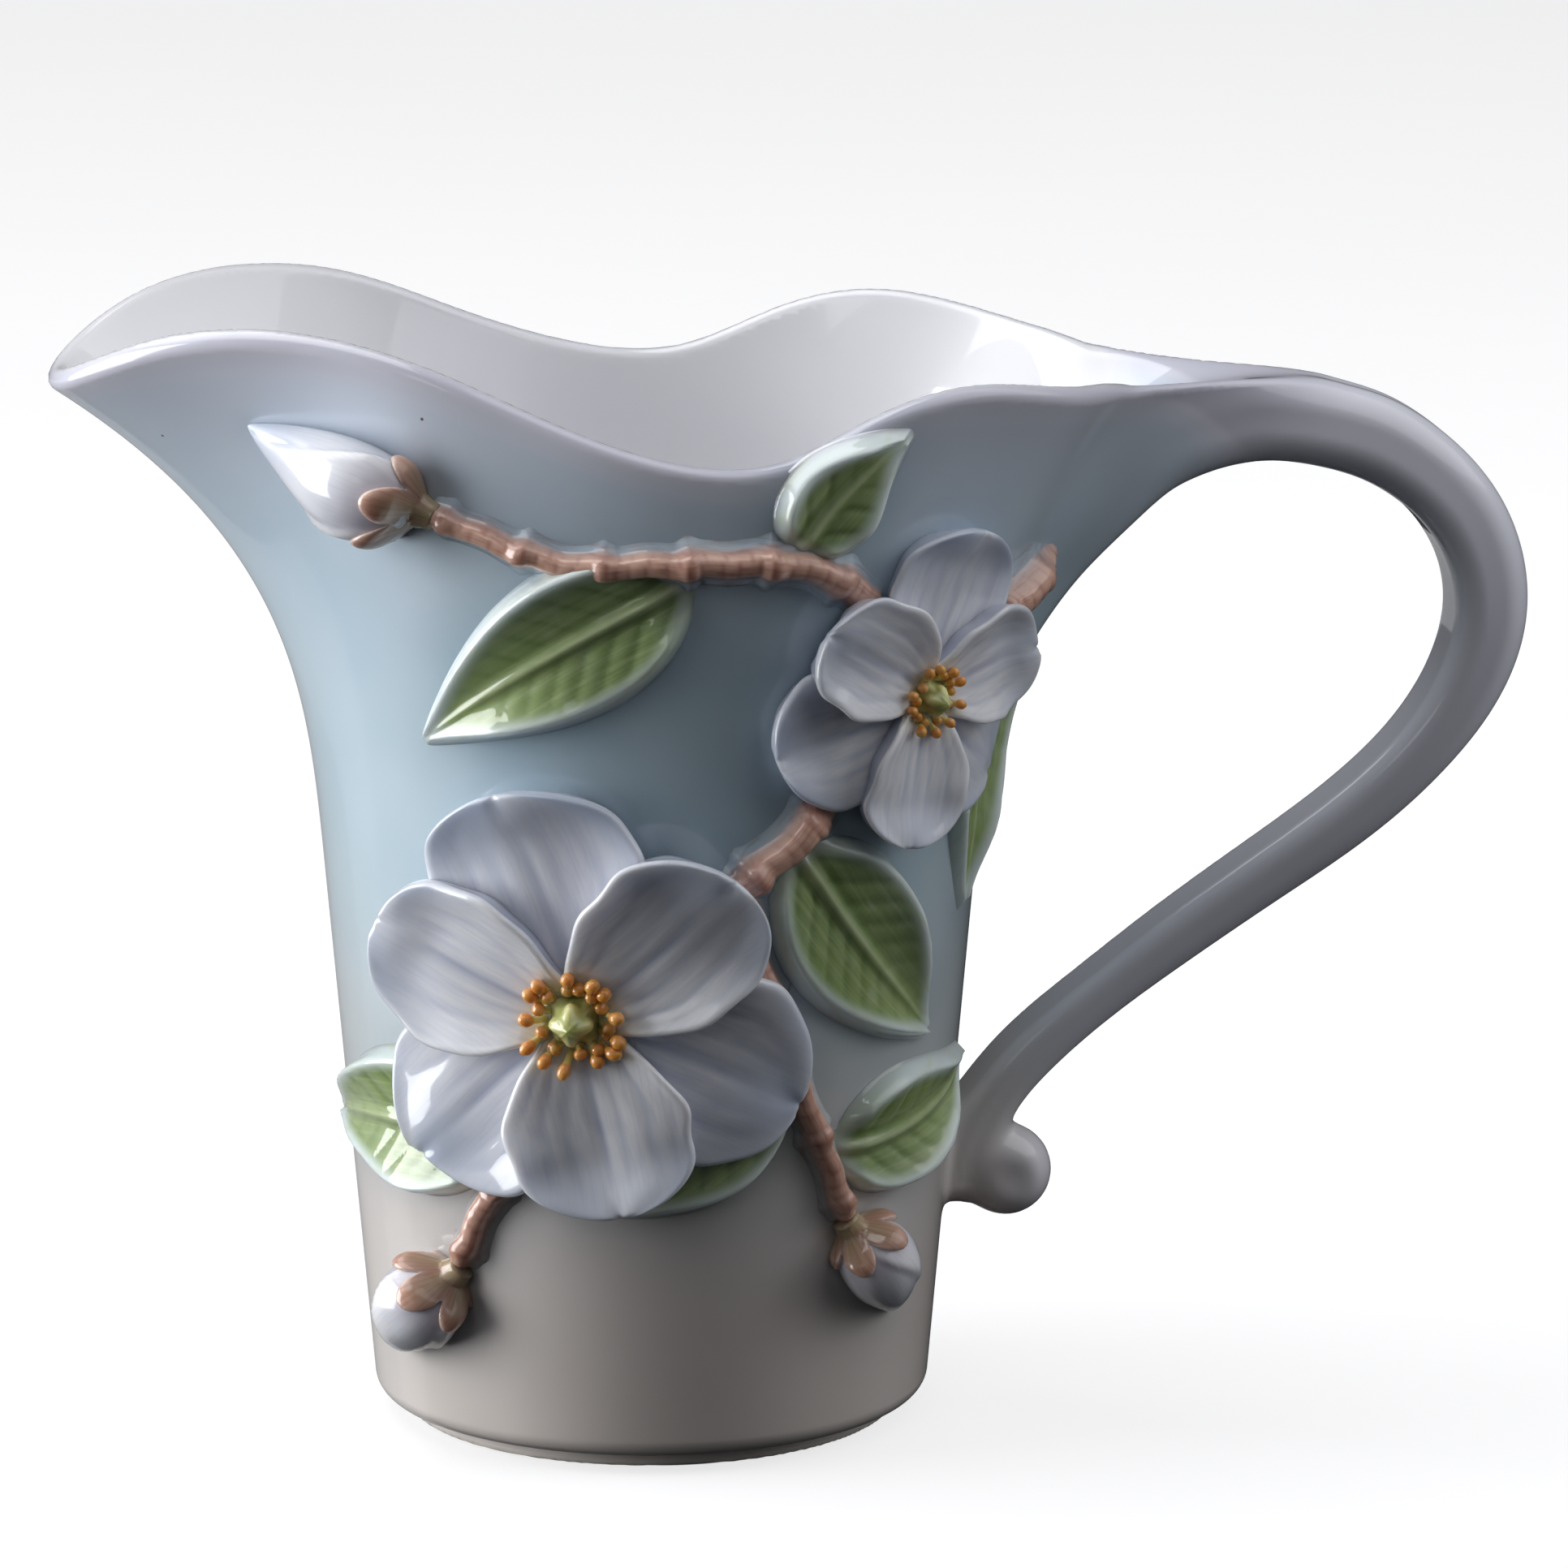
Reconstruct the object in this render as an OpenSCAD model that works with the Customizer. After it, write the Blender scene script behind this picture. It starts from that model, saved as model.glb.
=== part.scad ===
// Porcelain milk jug: a thin cast shell with a waved mouth and a long pouring
// lip, a looped handle that grows out of the back of the rim and ends in a
// rolled bead, and a spray of sprigged (separately pressed and slip-luted)
// blossoms, buds, leaves and twigs.
// Millimetres. +Z is up, the origin is at the centre of the foot ring, -X is
// the pouring lip and +X is the handle. Angles round the wall run from +X.

/* [Shell] */
// Radius of the straight wall, drawn down to the table
wall_r0 = 29.7; // [28:0.1:31]
// Outward lean of the wall, mm for each 100 mm of height
wall_lean = 8.8; // [6:0.1:11]
// Height where the wall starts to flare out to the rim
flare_z = 60; // [55:1:65]
// How late the flare turns outward (higher is later)
flare_pow = 2.9; // [2.5:0.1:3.3]
// Thickness of the wall
wall_t = 2.6; // [2:0.1:3.2]
// Height of the inside floor above the table
floor_z = 5.4; // [4.8:0.1:7]
// Rounding of the bottom edge
edge_r = 4; // [3:0.25:5]

/* [Foot] */
// Outer radius of the foot ring
foot_r = 26.3; // [25:0.1:26.5]
// Height of the foot ring
foot_h = 2; // [1.6:0.1:2.4]
// Radius of the hollow under the foot
hollow_r = 23.4; // [21:0.1:24.5]
// Depth of the hollow under the foot
hollow_d = 1.8; // [1.2:0.1:2.2]

/* [Handle] */
// Half width of the handle strap across the jug
strap_half_w = 5.6; // [4.5:0.1:6.5]
// Radius of the rolled bead at the lower end
bead_r = 5; // [4.2:0.1:5.4]

/* [Sprigs] */
// Thickness of a petal
petal_t = 1.7; // [1.2:0.1:2.2]
// Height of a leaf at its midrib
leaf_h = 2.2; // [1.6:0.1:2.8]
// Size of the twigs (1 is as drawn)
twig_k = 1; // [0.8:0.05:1.2]

/* [Hidden] */

// Rim, one value every 15 degrees from the handle (0) to the pouring lip (180);
// the other side is its mirror image.
RIM_R = [60, 53, 49, 44.5, 40.5, 38.3, 37.8, 37.9, 38.8, 42, 47, 56.6, 64];
RIM_Z = [111.5, 112.5, 114, 116, 114.3, 110.4, 110.2, 112.7, 116.4, 120.4, 122.5, 120.3, 115];
RIM_STEP = 15;

// Handle, root to bead: [x, z, half thickness]
STRAP = [[38, 84, 3.6], [43, 92.4, 5.4], [48.5, 99.4, 6.7], [53.5, 103.6, 6.5], [58, 105.8, 6], [62.5, 106.8, 5.5],
         [67, 107, 5.2], [73, 106.2, 5], [78, 104.6, 4.9], [83, 101.6, 4.7], [88, 96.4, 4.6], [91, 90.5, 4.7],
         [91.5, 85, 4.7], [90, 79, 4.6], [85, 71, 4.4], [77, 63.5, 4], [67, 56.5, 3.8], [57, 49.7, 3.7],
         [48, 43, 3.5], [42, 37.6, 3.5], [37.6, 32, 3.6], [35.4, 26, 3.4]];
BEAD = [39, 0, 24.2];

// Sprig lay-out on the wall: angle round the jug and height
TWIG_MAIN = [[340, 94, 2.2], [334, 93, 2.1], [328, 91, 2], [321, 88, 1.8]];
TWIG_MID = [[293, 74, 1.8], [288, 71, 1.8], [282, 68, 1.7], [273, 63, 1.6], [265, 59, 1.5]];
TWIG_LEFT = [[240, 39, 1.4], [235, 34, 1.4], [229, 28, 1.3], [223, 22, 1.2]];
TWIG_RIM = [[300, 94, 1.6], [291, 98, 1.5], [279, 100, 1.5], [265, 100, 1.4], [251, 100, 1.3],
            [238, 102, 1.2], [227, 105, 1.1]];
TWIG_LOW = [[278, 64, 1.5], [281, 56, 1.5], [287, 46, 1.4], [294, 36, 1.3], [301, 27, 1.2]];
TWIG_BACK_UP = [[20, 93, 2.2], [28, 91, 2.1], [36, 88, 1.9], [45, 84, 1.7]];
TWIG_BACK_LOW = [[72, 66, 1.6], [82, 59, 1.6], [93, 51, 1.5], [104, 43, 1.3]];

// Leaf: [angle, height, heading, length, half width, bend]
LEAVES = [[336, 93, -104, 33, 6.6, 22],
          [270, 99, -152, 34, 6.4, 8],
          [286, 70, -58, 31, 6.8, 22],
          [287, 46, -132, 25, 5.6, -26],
          [237, 36, 172, 31, 6.4, 24],
          [295, 35, 0, 25, 5.4, 26],
          [284, 99, 58, 16, 4.2, -26],
          [25, 92, -80, 32, 6.6, -20],
          [88, 55, 64, 30, 6, 20],
          [93, 51, -96, 26, 5.6, 24]];

// Blossom: [angle, height, petal length, turn of the first petal]
BLOSSOMS = [[250, 52, 25, 100], [309, 84, 18.5, 80], [58, 76, 19.5, 95]];

// Bud: [angle, height, heading, length, half width]
BUDS = [[226, 105, 158, 19, 5.2], [222, 21, -136, 15, 4.8], [302, 26, -52, 14, 4.2], [105, 42, -38, 16, 4.6]];

SEG = 72;        // steps round the wall
GLAZE = "gainsboro";
WHITE = "whitesmoke";
GREEN = "darkseagreen";
BROWN = "rosybrown";

// ---- curves -------------------------------------------------------------

// One span of a smooth curve through p1 and p2 (Catmull-Rom)
function span(p0, p1, p2, p3, t) =
    0.5 * (2 * p1 + (p2 - p0) * t + (2 * p0 - 5 * p1 + 4 * p2 - p3) * t * t
           + (3 * p1 - p0 - 3 * p2 + p3) * t * t * t);

// Angle folded to 0..180, because the jug is the same on both sides
function fold(a) = let (b = a - 360 * floor(a / 360)) b > 180 ? 360 - b : b;
function mirror_i(i, n) = i < 0 ? -i : i > n ? 2 * n - i : i;
function station(tab, a) =
    let (n = len(tab) - 1, q = fold(a) / RIM_STEP, i = min(floor(q), n - 1))
    span(tab[mirror_i(i - 1, n)], tab[i], tab[i + 1], tab[mirror_i(i + 2, n)], q - i);

// Open curve through a list of points, u from 0 to 1
function along(pts, u) =
    let (n = len(pts) - 1, q = min(max(u, 0), 1) * n, i = min(floor(q), n - 1))
    span(i > 0 ? pts[i - 1] : 2 * pts[0] - pts[1], pts[i], pts[i + 1],
         i + 2 <= n ? pts[i + 2] : 2 * pts[n] - pts[n - 1], q - i);

function unit(v) = v / norm(v);

// ---- the wall -----------------------------------------------------------

function rim_r(a) = station(RIM_R, a);
function rim_z(a) = station(RIM_Z, a);
function cone_r(z) = wall_r0 + wall_lean * z / 100;
// how far the rounded bottom edge draws the wall in at a height
function edge_in(z) =
    let (d = min(max(foot_h + edge_r - z, 0), edge_r * 0.92)) edge_r - sqrt(edge_r * edge_r - d * d);
function flare(a, z) =
    (rim_r(a) - cone_r(rim_z(a))) * pow(max(0, (z - flare_z) / (rim_z(a) - flare_z)), flare_pow);
function out_r(a, z) = cone_r(z) - edge_in(z) + flare(a, z);
function wall_slope(a, z) = out_r(a, z + 0.4) - out_r(a, z - 0.4);
function in_r(a, z) = out_r(a, z) - wall_t * sqrt(1 + pow(wall_slope(a, z) / 0.8, 2));

function polar(r, a, z) = [r * cos(a), r * sin(a), z];
function wall(a, z) = polar(out_r(a, z), a, z);
function wall_normal(a, z) = unit(cross(wall(a + 0.6, z) - wall(a - 0.6, z), wall(a, z + 0.5) - wall(a, z - 0.5)));
// A point that stands h proud of the wall
function proud(a, z, h) = wall(a, z) + h * wall_normal(a, z);

// Heights of the rings, outside: the straight wall, then shares of the flare
LOW_Z = [foot_h, foot_h + 0.35, foot_h + 0.9, foot_h + 1.7, foot_h + 2.7, foot_h + 4, 14, 26, 38, 50, 60];
HIGH_T = [0.15, 0.3, 0.43, 0.55, 0.66, 0.76, 0.85, 0.93];
LIP = 1.1;       // drop of the rounded lip on each side of its crest

function ring(f) = [for (i = [0 : SEG - 1]) f(i * 360 / SEG)];
function high(a, t) = flare_z + (rim_z(a) - LIP - flare_z) * t;

outer_rings = concat(
    [for (z = LOW_Z) ring(function (a) wall(a, z))],
    [for (t = concat(HIGH_T, [1])) ring(function (a) wall(a, high(a, t)))]);
crest_ring = ring(function (a) polar((out_r(a, rim_z(a)) + in_r(a, rim_z(a))) / 2, a, rim_z(a)));
inner_rings = concat(
    [for (t = concat([1], [for (i = [len(HIGH_T) - 1 : -1 : 0]) HIGH_T[i]])) ring(function (a) polar(in_r(a, high(a, t)), a, high(a, t)))],
    [for (z = [60, 48, 36, 24, 12]) ring(function (a) polar(in_r(a, z), a, z))],
    [ring(function (a) polar(in_r(a, 10) - 0.5, a, floor_z + 3)),
     ring(function (a) polar(in_r(a, 10) - 1.6, a, floor_z + 1.2)),
     ring(function (a) polar(in_r(a, 10) - 3.6, a, floor_z + 0.3)),
     ring(function (a) polar(in_r(a, 10) - 6.5, a, floor_z))]);

// Skin over a stack of closed rings, capped at both ends. The rings run
// anticlockwise seen from the last one; turned takes them the other way round.
module stack(rings, turned = false) {
    n = len(rings[0]);
    m = len(rings);
    polyhedron(
        points = [for (r = rings) each turned ? [for (i = [n - 1 : -1 : 0]) r[i]] : r],
        faces = concat(
            [[for (i = [0 : n - 1]) i]],
            [for (k = [0 : m - 2]) for (i = [0 : n - 1])
                each let (a = k * n + i, b = k * n + (i + 1) % n, c = a + n, d = b + n)
                    [[a, c, d], [a, d, b]]],
            [[for (i = [n - 1 : -1 : 0]) (m - 1) * n + i]]),
        convexity = 8);
}

// The outside of the jug as a solid that runs on above the mouth; every
// luted piece is trimmed to it.
module wall_form() {
    stack(concat([ring(function (a) polar(foot_r, a, foot_h - 0.01))], outer_rings,
                 [ring(function (a) polar(out_r(a, rim_z(a) - LIP), a, rim_z(a) + 14))]));
}

// Trims what it is given to the wall, so that the two meet face to face
module luted() {
    resize([0, 0, 0]) difference() {
        children();
        wall_form();
    }
}

module jug_body() {
    color(GLAZE) difference() {
        stack(concat(
            [ring(function (a) polar(foot_r, a, 0)), ring(function (a) polar(foot_r, a, foot_h))],
            outer_rings, [crest_ring], inner_rings));
        translate([0, 0, -1]) cylinder(r = hollow_r, h = hollow_d + 1, $fn = 96);
    }
}

// ---- the handle ---------------------------------------------------------

STRAP_N = 46;    // rings along the strap
STRAP_SIDES = 18;
function strap_at(u) = along(STRAP, u);
function strap_dir(u) = let (d = strap_at(u + 0.01) - strap_at(u - 0.01)) unit([d[0], 0, d[1]]);
// Section: a rounded oblong, narrower on the outside of the loop
function strap_ring(u) =
    let (p = strap_at(u), t = strap_dir(u), n = [-t[2], 0, t[0]],
         w = strap_half_w * (1 + 0.35 * pow(max(0, 1 - u * 6), 2) - 0.1 * u))
    [for (j = [0 : STRAP_SIDES - 1])
        let (q = j * 360 / STRAP_SIDES, c = cos(q), s = sin(q),
             a = sign(c) * pow(abs(c), 0.8), b = sign(s) * pow(abs(s), 0.8))
        [p[0], 0, p[1]] + n * p[2] * a + [0, w * b * (1 - 0.14 * a), 0]];

module handle() {
    color(GLAZE) luted() union() {
        stack([for (k = [0 : STRAP_N]) strap_ring(k / STRAP_N)], turned = true);
        translate(BEAD) sphere(r = bead_r, $fn = 28);
    }
}

// ---- sprigs -------------------------------------------------------------

// A point near [angle, height] on the unrolled wall: dx mm round, dz mm up, h proud
function near_wall(at, dx, dz, h) =
    proud(at[0] + dx / out_r(at[0], at[1]) * 180 / PI, at[1] + dz, h);

// Round twig half sunk in the wall
module twig(path, steps = 16, sides = 10) {
    stack([for (k = [0 : steps])
        let (u = k / steps, p = along(path, u), q = along(path, u + 0.02) - along(path, u - 0.02),
             r = p[2] * twig_k,
             d = unit(wall(p[0] + q[0], p[1] + q[1]) - wall(p[0] - q[0], p[1] - q[1])),
             n = wall_normal(p[0], p[1]), s = cross(d, n))
        [for (j = [0 : sides - 1])
            proud(p[0], p[1], 0.25 * r) + r * (n * cos(j * 360 / sides) + s * sin(j * 360 / sides))]]);
}

// A sheet with thickness: grid points f(i, j, side), closed round its edge
module sheet_solid(ni, nj, f) {
    stack([for (i = [0 : ni]) concat(
        [for (j = [0 : nj]) f(i / ni, 2 * j / nj - 1, 1)],
        [for (j = [nj : -1 : 0]) f(i / ni, 2 * j / nj - 1, 0)])], turned = true);
}

// Where a leaf's or petal's point falls on the unrolled wall: s along, t across
function blade(heading, length, half, bend, s, t, k) =
    let (h0 = heading + bend * s / 2, h1 = heading + bend * s,
         w = half * t * k)
    [s * length * cos(h0) - w * sin(h1), s * length * sin(h0) + w * cos(h1)];
function leaf_width(s) = 0.12 + 0.88 * pow(sin(180 * pow(s, 0.8)), 0.75) * (1 - 0.25 * s) / 0.9;
function petal_width(s) = 0.3 + 0.7 * pow(sin(min(180, 20 + 148 * s)), 0.8);

module leaf_blank(l) {
    stalk = 2 * [cos(l[2]), sin(l[2])];
    sheet_solid(8, 6, function (s, t, up)
        let (q = stalk + blade(l[2], l[3], l[4], l[5], s * 0.98, t, s > 0.97 ? 0.12 : leaf_width(s)))
        near_wall(l, q[0], q[1], up == 0 ? -0.9 : 0.55 + (leaf_h - 0.55) * (1 - abs(t)) * sin(20 + 150 * s)));
}

// Lower petals lie on the wall, upper petals stand over the gaps between them
module petal_blank(f, k) {
    upper = k >= 3;
    turn = f[3] + (upper ? 60 : 0) + 120 * (k % 3);
    size = f[2] * (upper ? 0.86 : 1);
    sheet_solid(7, 6, function (s, t, up)
        let (v = 0.14 + 0.86 * s,
             q = blade(turn, size, size * 0.4, 0, v, t, s > 0.97 ? 0.3 : petal_width(s)),
             cup = 1.3 * t * t * sin(150 * s) + (upper ? 2.8 : 1.2) * pow(s, 1.6),
             h = (upper ? 2.35 + petal_t * 0.1 : -0.5) + cup)
        near_wall(f, q[0], q[1], up == 0 ? (upper ? h : h - 0.6) : h + petal_t));
}

// Stands children on the wall at [angle, height], with their z along the normal
module on_wall(at, h) {
    n = wall_normal(at[0], at[1]);
    translate(proud(at[0], at[1], h)) rotate([0, acos(n[2]), atan2(n[1], n[0])]) children();
}
// Heights in the middle of a blossom: the top of the upper petals' feet
function heart_h() = 2.45 + 0.1 * petal_t + petal_t + 0.75;

module seed_cone(f) {
    on_wall(f, heart_h()) {
        cylinder(r1 = f[2] * 0.1, r2 = f[2] * 0.05, h = f[2] * 0.17, $fn = 24);
        translate([0, 0, f[2] * 0.17]) sphere(r = f[2] * 0.05, $fn = 24);
    }
}

module stamen_ring(f, count = 11) {
    for (i = [0 : count - 1])
        on_wall(f, heart_h()) rotate([0, 0, i * 360 / count])
            translate([f[2] * 0.165, 0, f[2] * 0.05]) sphere(r = f[2] * 0.042, $fn = 20);
}

module bud_blank(b) {
    stack([for (k = [0 : 9])
        let (s = 0.03 + 0.94 * k / 9, c = [cos(b[2]), sin(b[2])],
             r = b[4] * pow(sin(180 * pow(s, 0.72)), 0.8))
        [for (j = [0 : 11])
            let (x = r * sin(j * 30), y = r * cos(j * 30))
            near_wall(b, b[3] * s * c[0] - x * c[1], b[3] * s * c[1] + x * c[0], 0.9 + y)]], turned = true);
}
// Calyx: a cup round the foot of the bud
module calyx_blank(b) {
    stack([for (k = [0 : 4])
        let (s = [-0.1, 0, 0.14, 0.28, 0.34][k], c = [cos(b[2]), sin(b[2])],
             r = b[4] * [0.3, 0.62, 0.98, 1.12, 1.02][k])
        [for (j = [0 : 11])
            let (x = r * sin(j * 30), y = r * cos(j * 30))
            near_wall(b, b[3] * s * c[0] - x * c[1], b[3] * s * c[1] + x * c[0], 0.9 + y)]], turned = true);
}

// The blossoms go on first, then the twigs up to them, then the leaves
module all_petals() { for (f = BLOSSOMS) for (k = [0 : 5]) petal_blank(f, k); }
module all_twigs() {
    for (t = [TWIG_MAIN, TWIG_MID, TWIG_LEFT, TWIG_RIM, TWIG_LOW, TWIG_BACK_UP, TWIG_BACK_LOW]) twig(t);
}
module twig_sprig(path) {
    color(BROWN) luted() difference() {
        twig(path);
        all_petals();
    }
}
module main_twig() { twig_sprig(TWIG_MAIN); }
module mid_twig() { twig_sprig(TWIG_MID); }
module left_twig() { twig_sprig(TWIG_LEFT); }
module rim_twig() { twig_sprig(TWIG_RIM); }
module low_twig() {
    color(BROWN) luted() difference() {
        twig(TWIG_LOW);
        twig(TWIG_MID);
        all_petals();
    }
}
module back_twig_1() { twig_sprig(TWIG_BACK_UP); }
module back_twig_2() { twig_sprig(TWIG_BACK_LOW); }

module leaf(i) {
    color(GREEN) luted() difference() {
        leaf_blank(LEAVES[i]);
        all_petals();
        all_twigs();
    }
}
module petal(f, k) { color(WHITE) luted() petal_blank(BLOSSOMS[f], k); }
module cone_of(f) { color("khaki") seed_cone(BLOSSOMS[f]); }
module stamens_of(f) { color("sandybrown") stamen_ring(BLOSSOMS[f]); }
module calyx(i) {
    color(BROWN) luted() difference() {
        calyx_blank(BUDS[i]);
        all_twigs();
        all_petals();
    }
}
module bud(i) {
    color(WHITE) luted() difference() {
        bud_blank(BUDS[i]);
        calyx_blank(BUDS[i]);
        all_twigs();
        all_petals();
    }
}

jug_body();
handle();
main_twig();
mid_twig();
left_twig();
rim_twig();
low_twig();
back_twig_1();
back_twig_2();
for (i = [0 : 6]) leaf(i);
for (i = [0 : 2]) leaf(7 + i);
for (f = [0 : 2]) {
    name = ["large", "side", "back"][f];
    for (k = [0 : 5]) petal(f, k);
    cone_of(f);
    stamens_of(f);
}
for (i = [0 : 3]) {
    name = ["lip", "left", "right", "back"][i];
    bud(i);
    calyx(i);
}
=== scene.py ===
import bpy, bmesh, math
import numpy as np
from mathutils import Matrix, Vector, kdtree


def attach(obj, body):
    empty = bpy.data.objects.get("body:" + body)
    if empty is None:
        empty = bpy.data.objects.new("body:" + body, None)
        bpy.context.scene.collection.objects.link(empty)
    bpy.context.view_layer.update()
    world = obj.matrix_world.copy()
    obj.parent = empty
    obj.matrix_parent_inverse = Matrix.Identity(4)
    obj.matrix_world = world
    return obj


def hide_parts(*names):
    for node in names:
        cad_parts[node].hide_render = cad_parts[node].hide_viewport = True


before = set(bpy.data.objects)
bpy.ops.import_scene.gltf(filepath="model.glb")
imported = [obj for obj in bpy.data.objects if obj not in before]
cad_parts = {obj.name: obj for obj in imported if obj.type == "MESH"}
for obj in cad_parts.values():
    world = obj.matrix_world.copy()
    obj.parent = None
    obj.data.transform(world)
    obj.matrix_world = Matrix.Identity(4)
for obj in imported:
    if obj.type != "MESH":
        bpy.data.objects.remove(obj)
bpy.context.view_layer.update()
rng = np.random.default_rng(7)

# ---------------------------------------------------------------------------
# The wall of the jug (millimetres, degrees round from the handle)
# ---------------------------------------------------------------------------
RIM_R = [60, 53, 49, 44.5, 40.5, 38.3, 37.8, 37.9, 38.8, 42, 47.2, 57, 64.4]
RIM_Z = [111.5, 112.5, 114, 116, 114.2, 110.2, 109.9, 112.4, 116.1, 119.9, 121.7, 119.4, 114.1]
RIM_STEP = 15.0
WALL_R0, LEAN = 29.7, 0.088
FLARE_Z, FLARE_P, FLARE_LIP = 60.0, 2.9, 0.26
WALL_T, FLOOR_Z = 2.6, 5.4
FOOT_R, FOOT_H, HOLLOW_R, HOLLOW_D, EDGE_R = 26.5, 1.7, 23.4, 1.8, 2.1

STRAP = np.array([
    [33.5, 75, 2.0, 4.4], [37.5, 84.5, 2.9, 5.4], [42, 93.6, 4.2, 6.2], [47.4, 100.4, 5.2, 6.8], [52.7, 104.7, 5.25, 6.8],
    [57.8, 106.4, 4.95, 6.4], [62.4, 107.3, 5, 6], [67, 107.4, 4.9, 5.8], [73, 106.35, 4.7, 5.6], [78.1, 104.8, 4.72, 5.5],
    [83.2, 101.8, 4.55, 5.4], [88.3, 96.6, 4.4, 5.4], [91.15, 90.55, 4.28, 5.3], [91.75, 85, 4.17, 5.2], [90.3, 78.85, 4, 5],
    [85.25, 70.8, 3.53, 4.75], [77.2, 63.25, 3.3, 4.6], [67.15, 56.3, 3.1, 4.45], [57.1, 49.5, 2.9, 4.35], [48.1, 42.9, 2.7, 4.25],
    [41.9, 37.7, 2.8, 4.3], [37.2, 32.2, 2.9, 4.4], [34.8, 27, 3, 4.4], [34.1, 23.8, 2.5, 4.0]], float)
BEAD = np.array([39.0, 0.0, 24.2])
BEAD_R = 5.0


def ring_spline(tab):
    """Smooth closed curve through values every 15 degrees; returns value and slope per degree."""
    y = np.array(list(tab) + list(tab[-2:0:-1]), float)
    n, h = len(y), RIM_STEP
    a = np.zeros((n, n))
    for i in range(n):
        a[i, i] = 4 / 6
        a[i, (i - 1) % n] = a[i, (i + 1) % n] = 1 / 6
    m = np.linalg.solve(a, (np.roll(y, -1) - 2 * y + np.roll(y, 1)) / h ** 2)

    def f(deg):
        q = np.mod(deg, 360.0) / h
        i = np.floor(q).astype(int) % n
        t = q - np.floor(q)
        j, s = (i + 1) % n, 1 - t
        val = s * y[i] + t * y[j] + h * h / 6 * ((s ** 3 - s) * m[i] + (t ** 3 - t) * m[j])
        slope = (y[j] - y[i]) / h + h / 6 * ((1 - 3 * s ** 2) * m[i] + (3 * t ** 2 - 1) * m[j])
        return val, slope
    return f


rim_r, rim_z = ring_spline(RIM_R), ring_spline(RIM_Z)


def cone_r(z):
    return WALL_R0 + LEAN * z


def wall_field(deg, z):
    """Outer radius of the wall with its slopes up the wall and round it (per radian)."""
    R, R1 = rim_r(deg)
    Z, Z1 = rim_z(deg)
    A = R - cone_r(Z)
    p = FLARE_P + FLARE_LIP * (0.5 - 0.5 * np.cos(np.radians(deg))) ** 3
    t = np.clip((z - FLARE_Z) / (Z - FLARE_Z), 0, 1.7)
    tp = t ** (p - 1)
    out = cone_r(z) + A * tp * t
    up = LEAN + A * p * tp / (Z - FLARE_Z)
    A1 = R1 - LEAN * Z1
    rnd = (A1 * tp * t - A * p * tp * t * Z1 / (Z - FLARE_Z)) * 180 / math.pi
    return out, up, rnd, R, Z, A, Z1


def smin(a, b, k):
    h = np.maximum(k - np.abs(a - b), 0) / k
    return np.minimum(a, b) - h * h * h * k / 6


def smax(a, b, k):
    return -smin(-a, -b, k)


def sstep(a, b, x):
    t = np.clip((x - a) / (b - a), 0, 1)
    return t * t * (3 - 2 * t)


def corner(a, b, r):
    """Two half spaces met with a rounded edge of radius r."""
    return np.hypot(np.maximum(a + r, 0), np.maximum(b + r, 0)) + np.minimum(np.maximum(a + r, b + r), 0) - r


def smooth_curve(pts, n):
    """Even samples of a smooth open curve through rows of points; distance runs in the first two columns."""
    pts = np.asarray(pts, float)
    d = np.hypot(*(np.diff(pts[:, :2], axis=0).T))
    u = np.concatenate([[0], np.cumsum(d)])
    m = len(u)
    h = np.diff(u)
    a = np.zeros((m, m))
    rhs = np.zeros((m, pts.shape[1]))
    a[0, 0] = a[-1, -1] = 1
    for i in range(1, m - 1):
        a[i, i - 1], a[i, i], a[i, i + 1] = h[i - 1], 2 * (h[i - 1] + h[i]), h[i]
        rhs[i] = 6 * ((pts[i + 1] - pts[i]) / h[i] - (pts[i] - pts[i - 1]) / h[i - 1])
    M = np.linalg.solve(a, rhs)

    def at(q):
        i = np.clip(np.searchsorted(u, q, side="right") - 1, 0, m - 2)
        hh = h[i][:, None]
        s = ((u[i + 1] - q)[:, None]) / hh
        t = 1 - s
        return s * pts[i] + t * pts[i + 1] + hh ** 2 / 6 * ((s ** 3 - s) * M[i] + (t ** 3 - t) * M[i + 1])
    dense = at(np.linspace(0, u[-1], 4000))
    arc = np.concatenate([[0], np.cumsum(np.hypot(*(np.diff(dense[:, :2], axis=0).T)))])
    want = np.linspace(0, arc[-1], n)
    return np.stack([np.interp(want, arc, dense[:, c]) for c in range(pts.shape[1])], 1), arc[-1]


SN = 900
SPINE, SPINE_LEN = smooth_curve(STRAP, SN)
SPINE_DS = SPINE_LEN / (SN - 1)
SPINE_T = np.gradient(SPINE[:, :2], axis=0)
SPINE_T /= np.hypot(SPINE_T[:, 0], SPINE_T[:, 1])[:, None]
GX0, GZ0, GS = 28.0, 6.0, 0.75
_gx = GX0 + GS * np.arange(104)
_gz = GZ0 + GS * np.arange(160)
NEAREST = np.zeros((len(_gx), len(_gz)), np.int32)
for _i, _x in enumerate(_gx):
    NEAREST[_i] = np.argmin((SPINE[None, :, 0] - _x) ** 2 + (SPINE[None, :, 1] - _gz[:, None]) ** 2, axis=1)


def pick(arr, k):
    i = np.clip(k.astype(int), 0, SN - 2)
    f = (k - i)[:, None] if arr.ndim > 1 else k - i
    return arr[i] * (1 - f) + arr[i + 1] * f


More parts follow.
